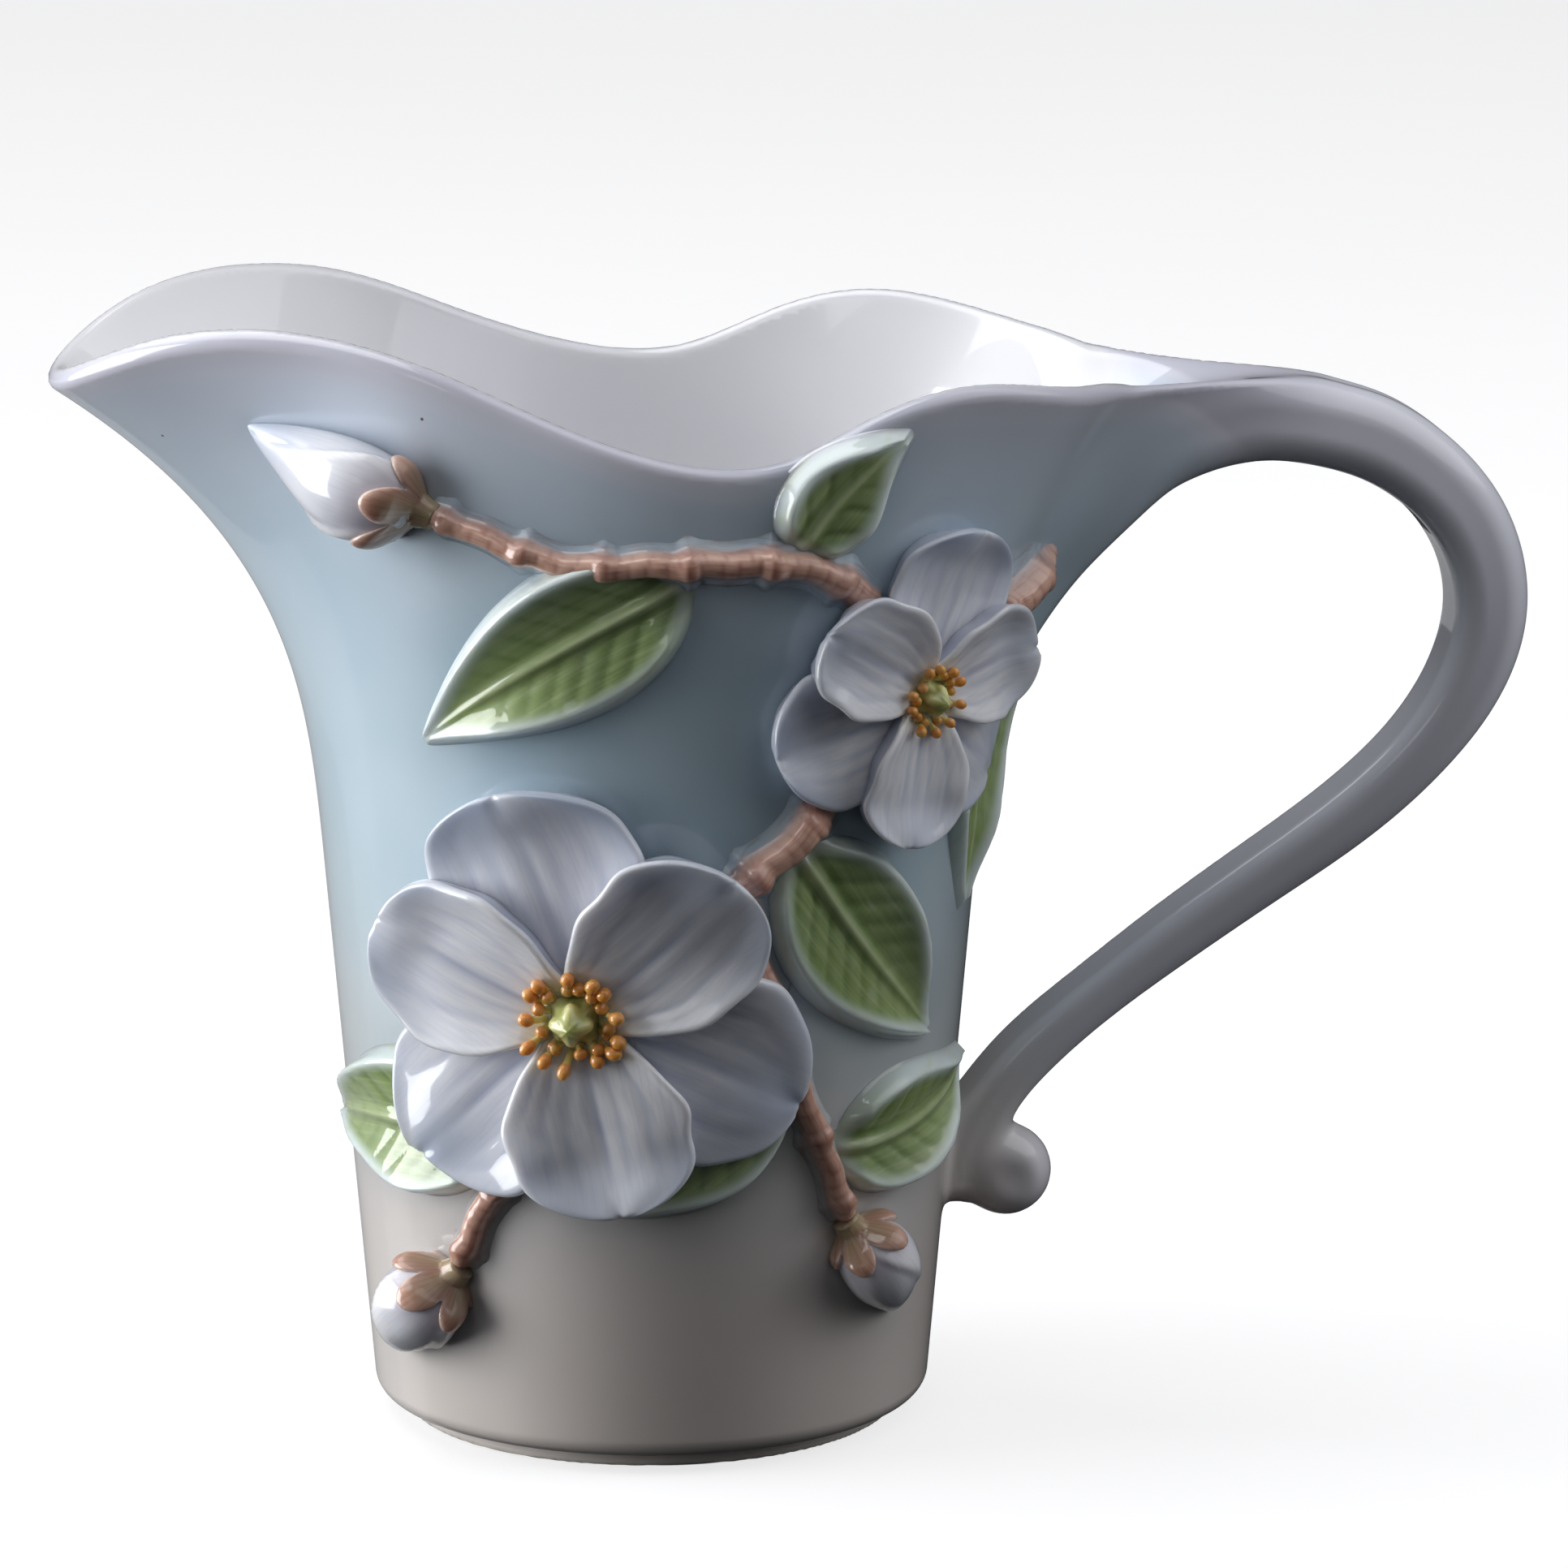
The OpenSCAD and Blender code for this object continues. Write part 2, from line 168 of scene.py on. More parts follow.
def strap_field(x, y, z):
    """Distance to the looped strap and its rolled bead."""
    ix = np.clip(np.rint((x - GX0) / GS).astype(int), 0, len(_gx) - 1)
    iz = np.clip(np.rint((z - GZ0) / GS).astype(int), 0, len(_gz) - 1)
    k = NEAREST[ix, iz].astype(float)
    for _ in range(3):
        c, t = pick(SPINE, k), pick(SPINE_T, k)
        k = np.clip(k + ((x - c[:, 0]) * t[:, 0] + (z - c[:, 1]) * t[:, 1]) / SPINE_DS, 0, SN - 1)
    c, t = pick(SPINE, k), pick(SPINE_T, k)
    n = -(x - c[:, 0]) * t[:, 1] + (z - c[:, 1]) * t[:, 0]
    e = (x - c[:, 0]) * t[:, 0] + (z - c[:, 1]) * t[:, 1]
    a, b = c[:, 2], c[:, 3]
    u = k / (SN - 1)
    # a shallow channel on the outside of the loop, fading out round the bend
    chan = 0.55 * np.clip((0.52 - u) / 0.2, 0, 1) * np.exp(-(y / 2.3) ** 2)
    n = np.where(n > 0, n + chan, n)
    w = b * (1 - 0.15 * np.clip(n / a, -1, 1))
    rc = 0.78 * np.minimum(a, w)
    qx, qy = np.abs(n) - (a - rc), np.abs(y) - (w - rc)
    d = np.hypot(np.maximum(qx, 0), np.maximum(qy, 0)) + np.minimum(np.maximum(qx, qy), 0) - rc
    d = np.where(np.abs(e) > 1e-3, np.hypot(np.maximum(d + a, 0), e) - a, d)
    bead = np.sqrt((x - BEAD[0]) ** 2 + y ** 2 + (z - BEAD[2]) ** 2) - BEAD_R
    eye = np.sqrt((x - BEAD[0]) ** 2 + (np.abs(y) - 8.3) ** 2 + (z - BEAD[2]) ** 2) - 3.9
    bead = smax(bead, -eye, 2.4)
    return smin(d, bead, 3.2), u


RUN = smooth_curve([
    [44, 98.5, 14.8], [47, 102.6, 12.8], [50, 105.8, 11.1], [52, 107.4, 10.0], [54, 108.6, 8.9], [56, 109.5, 7.9],
    [58, 110.15, 7.0], [60, 110.6, 6.15], [63, 111.05, 5.1], [67, 111.4, 4.1], [71, 111.6, 3.3], [75, 111.8, 2.7], [80, 112.4, 2.4]], 500)[0]


def form(P):
    """Signed distance to the shell with its handle."""
    x, y, z = P[:, 0], P[:, 1], P[:, 2]
    r = np.hypot(x, y)
    deg = np.degrees(np.arctan2(y, x))
    out, up, rnd, R, Z, A, Z1 = wall_field(deg, z)
    g = np.sqrt(1 + up ** 2 + (rnd / np.maximum(r, 12)) ** 2)
    fo = (r - out) / g
    m = LEAN + A * FLARE_P / (Z - FLARE_Z)
    lip = ((r - R) * m + (z - Z)) / np.sqrt(1 + m * m) / np.sqrt(1 + (Z1 * 180 / math.pi / np.maximum(r, 20)) ** 2)
    cav = corner(fo + WALL_T, FLOOR_Z - z, 6.0)
    outer = np.where(z > 40, fo, corner(fo, FOOT_H - z, EDGE_R))
    # foot ring, and the hollow under the floor
    mask = z < 14
    if mask.any():
        rr, zz = r[mask], z[mask]
        qx = np.abs(rr - (FOOT_R + HOLLOW_R) / 2) - ((FOOT_R - HOLLOW_R) / 2 - 0.5)
        qz = np.abs(zz - 1.6) - (1.6 - 0.5)
        ring = np.hypot(np.maximum(qx, 0), np.maximum(qz, 0)) + np.minimum(np.maximum(qx, qz), 0) - 0.5
        outer[mask] = smin(outer[mask], ring, 0.9)
    mask = (x > 29) & (np.abs(y) < 30)
    if mask.any():
        xx, yy, zz = x[mask], y[mask], z[mask]
        d, u = strap_field(xx, yy, zz)
        blend = 4.0 + 12.0 * sstep(76, 100, zz)
        outer[mask] = smin(outer[mask], d, blend)
        # the mouth runs out as a channel along the top of the strap
        fl, hw = np.interp(xx, RUN[:, 0], RUN[:, 1]), np.interp(xx, RUN[:, 0], RUN[:, 2])
        crest = np.interp(xx, [46, 50, 56.5, 62.5, 68, 74, 80], [113.5, 112.6, 112.25, 112.1, 111.9, 111.6, 111.4])
        dep = np.maximum(crest - fl, 0.05)
        run = (fl + dep * (yy / hw) ** 2 - zz) / np.sqrt(1 + (2 * dep * yy / hw ** 2) ** 2)
        run = np.where((xx > 44) & (zz > 96), run, 50.0)
        cav[mask] = np.where(xx > 44, smin(cav[mask], run + 4 * (1 - sstep(44, 53, xx)), 4.0), cav[mask])
        hb = sstep(43, 51, xx) * (1 - sstep(15, 22, np.abs(yy)))
        lip[mask] = lip[mask] * (1 - hb) + (zz - crest - 0.3) * hb
    wall = np.where(z > 92, smax(outer, -cav, 1.6), np.maximum(outer, -cav))
    return np.where(z > 92, corner(wall, lip, WALL_T / 2 - 0.03), wall)


def normals_of(P, e=0.05):
    g = np.empty_like(P)
    for c in range(3):
        d = np.zeros(3)
        d[c] = e
        g[:, c] = (form(P + d) - form(P - d)) / (2 * e)
    return g


def surface(h):
    """Quad mesh of the form on a grid of pitch h, pulled on to the exact surface."""
    lo, hi = np.array([-67.0, -42.0, -1.5]), np.array([99.0, 42.0, 125.0])
    nx, ny, nz = np.ceil((hi - lo) / h).astype(int) + 1
    gx, gy, gz = lo[0] + h * np.arange(nx), lo[1] + h * np.arange(ny), lo[2] + h * np.arange(nz)
    F = np.empty((nx, ny, nz), np.float32)
    XX, YY = np.meshgrid(gx, gy, indexing="ij")
    flat = np.empty((nx * ny, 3))
    flat[:, 0], flat[:, 1] = XX.ravel(), YY.ravel()
    for k in range(nz):
        flat[:, 2] = gz[k]
        F[:, :, k] = form(flat).reshape(nx, ny)
    ins = F < 0
    cnt = np.zeros((nx - 1, ny - 1, nz - 1), np.int8)
    corners = [(a, b, c) for a in (0, 1) for b in (0, 1) for c in (0, 1)]
    for a, b, c in corners:
        cnt += ins[a:nx - 1 + a, b:ny - 1 + b, c:nz - 1 + c]
    act = (cnt > 0) & (cnt < 8)
    cells = np.argwhere(act)
    idx = np.full(act.shape, -1, np.int32)
    idx[act] = np.arange(len(cells))
    acc, num = np.zeros((len(cells), 3)), np.zeros(len(cells))
    for i, ca in enumerate(corners):
        for cb in corners[i + 1:]:
            if sum(abs(p - q) for p, q in zip(ca, cb)) != 1:
                continue
            fa = F[cells[:, 0] + ca[0], cells[:, 1] + ca[1], cells[:, 2] + ca[2]]
            fb = F[cells[:, 0] + cb[0], cells[:, 1] + cb[1], cells[:, 2] + cb[2]]
            m = (fa < 0) != (fb < 0)
            t = fa[m] / (fa[m] - fb[m])
            acc[m] += np.array(ca) + t[:, None] * (np.array(cb) - np.array(ca))
            num[m] += 1
    V = lo + h * (cells + acc / num[:, None])
    quads = []
    for ax in range(3):
        o1, o2 = [(1, 2), (2, 0), (0, 1)][ax]
        s0 = [slice(None)] * 3
        s1 = [slice(None)] * 3
        s0[ax], s1[ax] = slice(0, -1), slice(1, None)
        a, b = ins[tuple(s0)], ins[tuple(s1)]
        e = np.argwhere(a != b)
        e = e[(e[:, o1] > 0) & (e[:, o2] > 0) & (e[:, o1] < ins.shape[o1] - 1) & (e[:, o2] < ins.shape[o2] - 1)]
        flip = a[e[:, 0], e[:, 1], e[:, 2]]
        q = []
        for d1, d2 in ((-1, -1), (0, -1), (0, 0), (-1, 0)):
            c = e.copy()
            c[:, o1] += d1
            c[:, o2] += d2
            q.append(idx[c[:, 0], c[:, 1], c[:, 2]])
        q = np.stack(q, 1)
        q[~flip] = q[~flip][:, ::-1]
        quads.append(q)
    quads = np.concatenate(quads)
    for _ in range(3):
        g = normals_of(V)
        l2 = np.maximum((g * g).sum(1), 0.2)
        V -= np.clip(form(V) / l2, -0.5 * h, 0.5 * h)[:, None] * g
    return V, quads


# ---------------------------------------------------------------------------
# Mesh helpers
# ---------------------------------------------------------------------------
MM = 0.001


def make_object(name, verts, faces, normals=None, tint=None, extra=None):
    me = bpy.data.meshes.new(name)
    me.from_pydata((np.asarray(verts) * MM).tolist(), [], faces if isinstance(faces, list) else faces.tolist())
    me.update()
    for p in me.polygons:
        p.use_smooth = True
    if tint is not None:
        col = me.color_attributes.new("tint", "FLOAT_COLOR", "POINT")
        rgba = np.ones((len(verts), 4), np.float32)
        rgba[:, :3] = tint
        col.data.foreach_set("color", rgba.ravel())
    for key, val in (extra or {}).items():
        at = me.attributes.new(key, "FLOAT", "POINT")
        at.data.foreach_set("value", np.asarray(val, np.float32))
    if normals is not None:
        me.normals_split_custom_set_from_vertices(np.asarray(normals).tolist())
    ob = bpy.data.objects.new(name, me)
    bpy.context.scene.collection.objects.link(ob)
    return ob


def ring_faces(ns, nr, poles=False):
    """Quads over ns rings of nr points; ends closed with one face each, or with fans to two pole points."""
    f = []
    for i in range(ns - 1):
        a = i * nr + np.arange(nr)
        b = i * nr + (np.arange(nr) + 1) % nr
        f.append(np.stack([a, b, b + nr, a + nr], 1))
    f = np.concatenate(f).tolist()
    if poles:
        p0, p1 = ns * nr, ns * nr + 1
        last = (ns - 1) * nr
        f += [[p0, (j + 1) % nr, j] for j in range(nr)]
        f += [[p1, last + j, last + (j + 1) % nr] for j in range(nr)]
    else:
        f.append(list(range(nr))[::-1])
        f.append([(ns - 1) * nr + j for j in range(nr)])
    return f


def outward(verts, faces):
    """Faces turned so that the closed mesh has positive volume."""
    v = np.asarray(verts)
    vol = 0.0
    for f in faces:
        p = v[f] - v[0]
        for i in range(1, len(f) - 1):
            a, b, c = p[0], p[i], p[i + 1]
            vol += a[0] * (b[1] * c[2] - b[2] * c[1]) + a[1] * (b[2] * c[0] - b[0] * c[2]) + a[2] * (b[0] * c[1] - b[1] * c[0])
    return faces if vol > 0 else [f[::-1] for f in faces]


def wall_pt(deg, z):
    out = wall_field(deg, z)[0]
    a = np.radians(deg)
    return np.stack([out * np.cos(a), out * np.sin(a), z + 0 * out], -1)


def wall_nrm(deg, z):
    out, up, rnd = wall_field(deg, z)[:3]
    a = np.radians(deg)
    er = np.stack([np.cos(a), np.sin(a), 0 * a], -1)
    ep = np.stack([-np.sin(a), np.cos(a), 0 * a], -1)
    n = er - (rnd / out)[..., None] * ep
    n[..., 2] = -up
    return n / np.linalg.norm(n, axis=-1, keepdims=True)


def near_wall(at, dx, dz, h):
    """Points dx mm round and dz mm up from [angle, height] on the unrolled wall, standing h proud."""
    dx, dz, h = np.broadcast_arrays(np.asarray(dx, float), np.asarray(dz, float), np.asarray(h, float))
    r0 = wall_field(np.array([float(at[0])]), np.array([float(at[1])]))[0][0]
    deg, z = at[0] + np.degrees(dx / r0), at[1] + dz
    return wall_pt(deg, z) + h[..., None] * wall_nrm(deg, z)


def mix(a, b, t):
    t = np.asarray(t)[..., None]
    return np.asarray(a) * (1 - t) + np.asarray(b) * t


# ---------------------------------------------------------------------------
# Sprigs: leaves, twigs, petals, buds, seed cones and stamens luted to the wall
# ---------------------------------------------------------------------------
D = 1.0
RELIEF_PTS = []


def rgb(r, g, b):
    """Linear colour from display values 0..255."""
    c = np.array([r, g, b], float) / 255
    return np.where(c <= 0.04045, c / 12.92, ((c + 0.055) / 1.055) ** 2.4)


# sprayed colours of the wall from foot to rim, as [height / 125 mm, display colour], and the colour of the lip
SPRAY = [(0.0, (204, 196, 190)), (0.16, (206, 198, 193)), (0.27, (198, 195, 194)), (0.36, (187, 194, 197)),
         (0.45, (179, 194, 202)), (0.56, (173, 194, 205)), (0.70, (174, 194, 207)), (0.80, (180, 198, 211)), (0.92, (208, 215, 229)), (1.0, (218, 221, 233))]
LIP_COL = rgb(215, 215, 227)


def wall_colour(at, DX, DZ):
    """Colour of the wall beside a sprig, for slip and glaze that spread thinly on to it; darker and bluer, like the
    painted shade the wall carries near the sprigs.
    """
    r0 = wall_field(np.array([float(at[0])]), np.array([float(at[1])]))[0][0]
    z = at[1] + DZ
    tab = np.array([rgb(*c) for _, c in SPRAY])
    pos = [q for q, _ in SPRAY]
    col = np.stack([np.interp(z / 125, pos, tab[:, c]) for c in range(3)], -1)
    under = np.clip(rim_z(at[0] + np.degrees(DX / r0))[0] - z, 0, 60)
    col = mix(col, LIP_COL, 1 - sstep(0.5, 5.0, under))
    # painted shade: the same darker, bluer tone that the wall has near the sprigs
    return col * np.array([0.84, 0.87, 0.885])


def add_sprig(name, node, verts, faces, tint, su, sv):
    faces = outward(verts, faces)
    ob = make_object(name, verts, faces, tint=tint, extra={"su": su, "sv": sv})
    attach(ob, "root")
    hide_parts(node)
    RELIEF_PTS.append(np.asarray(verts))
    return ob


def outline_distance(px, py, ox, oy):
    """Distance from points to a closed outline."""
    ax, ay = ox, oy
    bx, by = np.roll(ox, -1), np.roll(oy, -1)
    ex, ey = bx - ax, by - ay
    l2 = np.maximum(ex * ex + ey * ey, 1e-12)
    best = np.full(px.shape, 1e9)
    for i in range(len(ox)):
        t = np.clip(((px - ax[i]) * ex[i] + (py - ay[i]) * ey[i]) / l2[i], 0, 1)
        best = np.minimum(best, np.hypot(px - ax[i] - t * ex[i], py - ay[i] - t * ey[i]))
    return best


def close_rows(at, DX, DZ, H, sink=0.8):
    """Rings made of each row of a relief surface and a few points under it, inside the wall."""
    ns, nb = H.shape
    under = np.array([0.75, 0.5, 0.25])
    ux = DX[:, :1] + (DX[:, -1:] - DX[:, :1]) * under
    uz = DZ[:, :1] + (DZ[:, -1:] - DZ[:, :1]) * under
    top = near_wall(at, DX, DZ, H)
    bot = near_wall(at, ux, uz, np.full(ux.shape, -sink))
    return np.concatenate([top, bot], axis=1)


LEAVES = [[336, 93, -104, 33, 6.6, 22], [270, 99, -152, 34, 6.4, 8], [286, 70, -58, 31, 6.8, 22],
          [287, 46, -132, 25, 5.6, -26], [237, 36, 172, 31, 6.4, 24], [295, 35, 0, 25, 5.4, 26],
          [284, 99, 58, 16, 4.2, -26], [25, 92, -80, 32, 6.6, -20], [88, 55, 64, 30, 6, 20], [93, 51, -96, 26, 5.6, 24]]
LEAF_NAMES = ["leaf_%d" % (i + 1) for i in range(7)] + ["back_leaf_%d" % (i + 1) for i in range(3)]


def leaf(node, at0, at1, heading, L, half, bend, seed):
    at = (at0, at1)
    ns, nb = int(84 * D), int(44 * D)
    ph = seed * 2.1
    edge = 1.25
    ext = edge / L

    def width(s):
        s = np.clip(s, 0, 1)
        return half * (0.16 * (1 - s) + np.sin(np.pi * s ** 0.78) ** 0.9 * (1 - 0.22 * s) / 0.9)

    x = np.linspace(0, 1, ns)
    s = (x * 0.55 + (1 - np.cos(np.pi * x)) / 2 * 0.45) * (1 + 2 * ext) - ext
    w = width(s)
    btot = w + edge
    lowend, topend = s < 0, s > 1
    btot[lowend] = (width(0.0) + edge) * np.sqrt(np.maximum(0, 1 - (s[lowend] / ext) ** 2)) + 0.03
    btot[topend] = edge * np.sqrt(np.maximum(0, 1 - ((s[topend] - 1) / ext) ** 2)) + 0.03
    q = np.linspace(-1, 1, nb)
    S = np.repeat(s[:, None], nb, 1)
    B = btot[:, None] * q[None, :]
    so = np.linspace(0, 1, 90)
    ox = np.concatenate([so * L, so[::-1] * L])
    oy = np.concatenate([width(so), -width(so[::-1])])
    d = outline_distance(S * L, B, ox, oy)
    inside = (S > 0) & (S < 1) & (np.abs(B) < np.repeat(w[:, None], nb, 1))
    d = np.where(inside, -d, d)
    T = np.clip(B / np.maximum(np.repeat(w[:, None], nb, 1), 0.4), -1.1, 1.1)
    rise = sstep(-0.02, 0.14, S) * (1 - 0.45 * sstep(0.72, 1.0, S))
    flip = 1 if seed % 2 else -1
    ch = 0.36 + 0.52 * np.abs(T) ** 1.7 + 0.30 * np.maximum(flip * T, 0) ** 3 * np.sin(np.pi * np.clip(S, 0, 1))
    roll = 0.22 * np.sin(2 * np.pi * (1.3 * S + 0.17 * seed)) * T ** 2 * np.sign(T + 1e-9)
    core = 2.75 * rise * (ch + roll * sstep(0.1, 0.4, S))
    rib = np.exp(-(B / (0.62 - 0.3 * np.clip(S, 0, 1))) ** 2) * (1 - 0.7 * S)
    core += 0.62 * rib * sstep(-0.03, 0.05, S)
    core -= 0.20 * np.exp(-((np.abs(B) - 1.25) / 0.5) ** 2) * rise * (1 - S)
    vein = (S * L / 3.4 - np.abs(B) * 0.28 + 0.13 * seed) % 1.0
    vein = np.exp(-((vein - 0.5) / 0.16) ** 2)
    core -= 0.19 * vein * sstep(0.7, 1.7, np.abs(B)) * sstep(-0.8, -1.9, d) * rise * (1 - 0.9 * sstep(0.42, 0.80, S))
    H = core * (1 - sstep(-0.55, 1.05, d)) - 0.14 * sstep(0.85, edge, d)
    h0, h1 = np.radians(heading + bend * S / 2), np.radians(heading + bend * S)
    hd = math.radians(heading)
    DX = 2 * math.cos(hd) + S * L * np.cos(h0) - B * np.sin(h1)
    DZ = 2 * math.sin(hd) + S * L * np.sin(h0) + B * np.cos(h1)
    H = under_petals(at, DX, DZ, H)
    rings = close_rows(at, DX, DZ, H)
    nr = rings.shape[1]
    verts = rings.reshape(-1, 3)
    faces = ring_faces(ns, nr)
    # green in the hollow, thinning to a pale edge where the glaze runs off the rolled rim
    pale, green, dark = rgb(214, 226, 226), rgb(150, 170, 112), rgb(108, 132, 74)
    thin_glaze_and_rim_shade = sstep(-1.9, -0.25, d) * 0.85 + 0.25 * np.maximum(flip * T, 0) ** 3
    thin_glaze_and_rim_shade = np.clip(thin_glaze_and_rim_shade * (0.65 + 0.5 * sstep(0.0, 0.5, S)), 0, 1)
    col = mix(green, dark, np.clip(1 - S * 1.25, 0, 1) * 0.7 + 0.3 * vein * (1 - thin_glaze_and_rim_shade))
    col = mix(col, rgb(204, 214, 176), 0.65 * rib)
    col = mix(col, pale, thin_glaze_and_rim_shade)
    melt = sstep(0.35, 1.15, d)[..., None]
    col = col * (1 - melt) + wall_colour(at, DX, DZ) * melt
    tint = np.concatenate([col, np.repeat(col[:, :1], nr - nb, 1)], 1).reshape(-1, 3)
    su = np.concatenate([S * L, np.zeros((ns, nr - nb))], 1).ravel()
    sv = np.concatenate([B + 7.0 * seed, np.zeros((ns, nr - nb))], 1).ravel()
    return add_sprig(node + "_sprig", node, verts, faces, tint, su, sv)


TWIGS = {
    "main_twig": [[346, 95.5, 1.9], [340, 94.2, 2.1], [334, 93, 2.1], [328, 91, 2], [321, 88, 1.8]],
    "mid_twig": [[293, 74, 1.8], [288, 71, 1.8], [282, 68, 1.7], [273, 63, 1.6], [265, 59, 1.5]],
    "left_twig": [[240, 39, 1.4], [235, 34, 1.4], [229, 28, 1.3], [223, 22, 1.2]],
    "rim_twig": [[300, 94, 1.6], [291, 98, 1.5], [279, 100, 1.5], [265, 100, 1.4], [251, 100, 1.3], [238, 102, 1.2], [227, 105, 1.1]],
    "low_twig": [[278, 64, 1.5], [281, 56, 1.5], [287, 46, 1.4], [294, 36, 1.3], [301, 27, 1.2]],
    "back_twig_1": [[20, 93, 2.2], [28, 91, 2.1], [36, 88, 1.9], [45, 84, 1.7]],
    "back_twig_2": [[72, 66, 1.6], [82, 59, 1.6], [93, 51, 1.5], [104, 43, 1.3]]}


LOW_ENDS = {"main_twig": (0, 9), "mid_twig": (5, 10), "left_twig": (9, 0), "rim_twig": (8, 0), "low_twig": (12, 0),
            "back_twig_1": (0, 9), "back_twig_2": (9, 0)}


def twig(node, pts, seed):
    at = (pts[0][0], pts[0][1])
    r0 = wall_field(np.array([float(at[0])]), np.array([float(at[1])]))[0][0]
    flat = [[math.radians(a - at[0]) * r0, z - at[1], r] for a, z, r in pts]
    run = sum(math.dist(flat[i][:2], flat[i + 1][:2]) for i in range(len(flat) - 1))
    ns, nb = max(24, int(run / 0.42 * D)), int(30 * D)
    c, length = smooth_curve(flat, ns)
    u = np.linspace(0, length, ns)
    t = np.gradient(c[:, :2], axis=0)
    t /= np.hypot(t[:, 0], t[:, 1])[:, None]
    pitch = 8.6
    k = (u + 2.9 * seed) % pitch
    turn = np.floor((u + 2.9 * seed) / pitch)
    zig = np.where(turn % 2 == 0, 1, -1) * (np.abs(k / pitch - 0.5) * 2 - 0.5)
    zig = np.convolve(np.pad(zig, 6, mode="edge"), np.hanning(13) / np.hanning(13).sum(), "valid")
    wander = 0.75 * zig * np.clip(np.minimum(u, length - u) / 4, 0, 1)
    cx, cz = c[:, 0] - t[:, 1] * wander, c[:, 1] + t[:, 0] * wander
    swell = np.exp(-(np.minimum(k, pitch - k) / 0.9) ** 2)
    rad = 0.86 * c[:, 2] * (1 + 0.30 * swell) + 0.12
    if node in ("main_twig", "back_twig_1"):
        rad = (0.86 * c[:, 2] * (1 + 0.30 * swell * sstep(5, 11, u)) + 0.12) * (0.45 + 0.55 * sstep(-0.5, 7.5, u))
    end = np.minimum(u, length - u) / 1.1
    end = np.sqrt(np.clip(1 - (1 - np.clip(end, 0, 1)) ** 2, 0, 1)) * 0.97 + 0.03
    q = np.linspace(-2.1, 2.1, nb)
    Q = np.repeat(q[None, :], ns, 0)
    U = np.repeat(u[:, None], nb, 1)
    prof = np.sqrt(np.clip(1 - (Q / 1.12) ** 2, 0, 1)) * (1 - sstep(0.8, 1.12, np.abs(Q)))
    skirt = 0.42 * (1 - sstep(0.55, 1.95, np.abs(Q)))
    prof = np.maximum(prof, 0) * 0.72 + skirt
    ring_u = (U + 0.25 * np.sin(Q * 1.7 + seed) + 0.45 * np.sin(U * 0.9 + seed)) % 1.45
    scar = np.exp(-((ring_u - 0.72) / 0.17) ** 2)
    H = 1.7 * rad[:, None] * prof * end[:, None]
    la, lb = LOW_ENDS[node]
    H *= (1 - (0.62 * (1 - sstep(0.25 * la, la, u)) if la else 0) - (0.62 * (1 - sstep(0.25 * lb, lb, length - u)) if lb else 0))[:, None]
    on_top = 1 - sstep(0.75, 1.1, np.abs(Q))
    H -= 0.10 * scar * on_top * end[:, None]
    node_lip = np.exp(-((np.minimum(k, pitch - k) - 0.55) / 0.28) ** 2)[:, None]
    H += 0.16 * node_lip * on_top * end[:, None]
    H -= 0.16 * sstep(1.55, 2.1, np.abs(Q))
    Bw = Q * (rad * (0.4 + 0.6 * end))[:, None]
    DX = cx[:, None] - Bw * t[:, 1][:, None]
    DZ = cz[:, None] + Bw * t[:, 0][:, None]
    H = under_petals(at, DX, DZ, H)
    rings = close_rows(at, DX, DZ, H)
    nr = rings.shape[1]
    coral, dark = rgb(212, 172, 154), rgb(158, 110, 96)
    col = mix(coral, dark, np.clip(0.5 * scar * on_top + 0.45 * np.repeat(swell[:, None], nb, 1), 0, 1))
    melt = sstep(0.85, 1.35, np.abs(Q))[..., None]
    col = col * (1 - melt) + wall_colour(at, DX, DZ) * melt
    tint = np.concatenate([col, np.repeat(col[:, :1], nr - nb, 1)], 1).reshape(-1, 3)
    su = np.concatenate([U, np.zeros((ns, nr - nb))], 1).ravel()
    sv = np.concatenate([Bw + 5.0 * seed, np.zeros((ns, nr - nb))], 1).ravel()
    return add_sprig(node + "_sprig", node, rings.reshape(-1, 3), ring_faces(ns, nr), tint, su, sv)


BLOSSOMS = {"large": [250, 52, 25, 100], "side": [309, 84, 18.5, 80], "back": [58, 76, 19.5, 95]}


PETALS = []


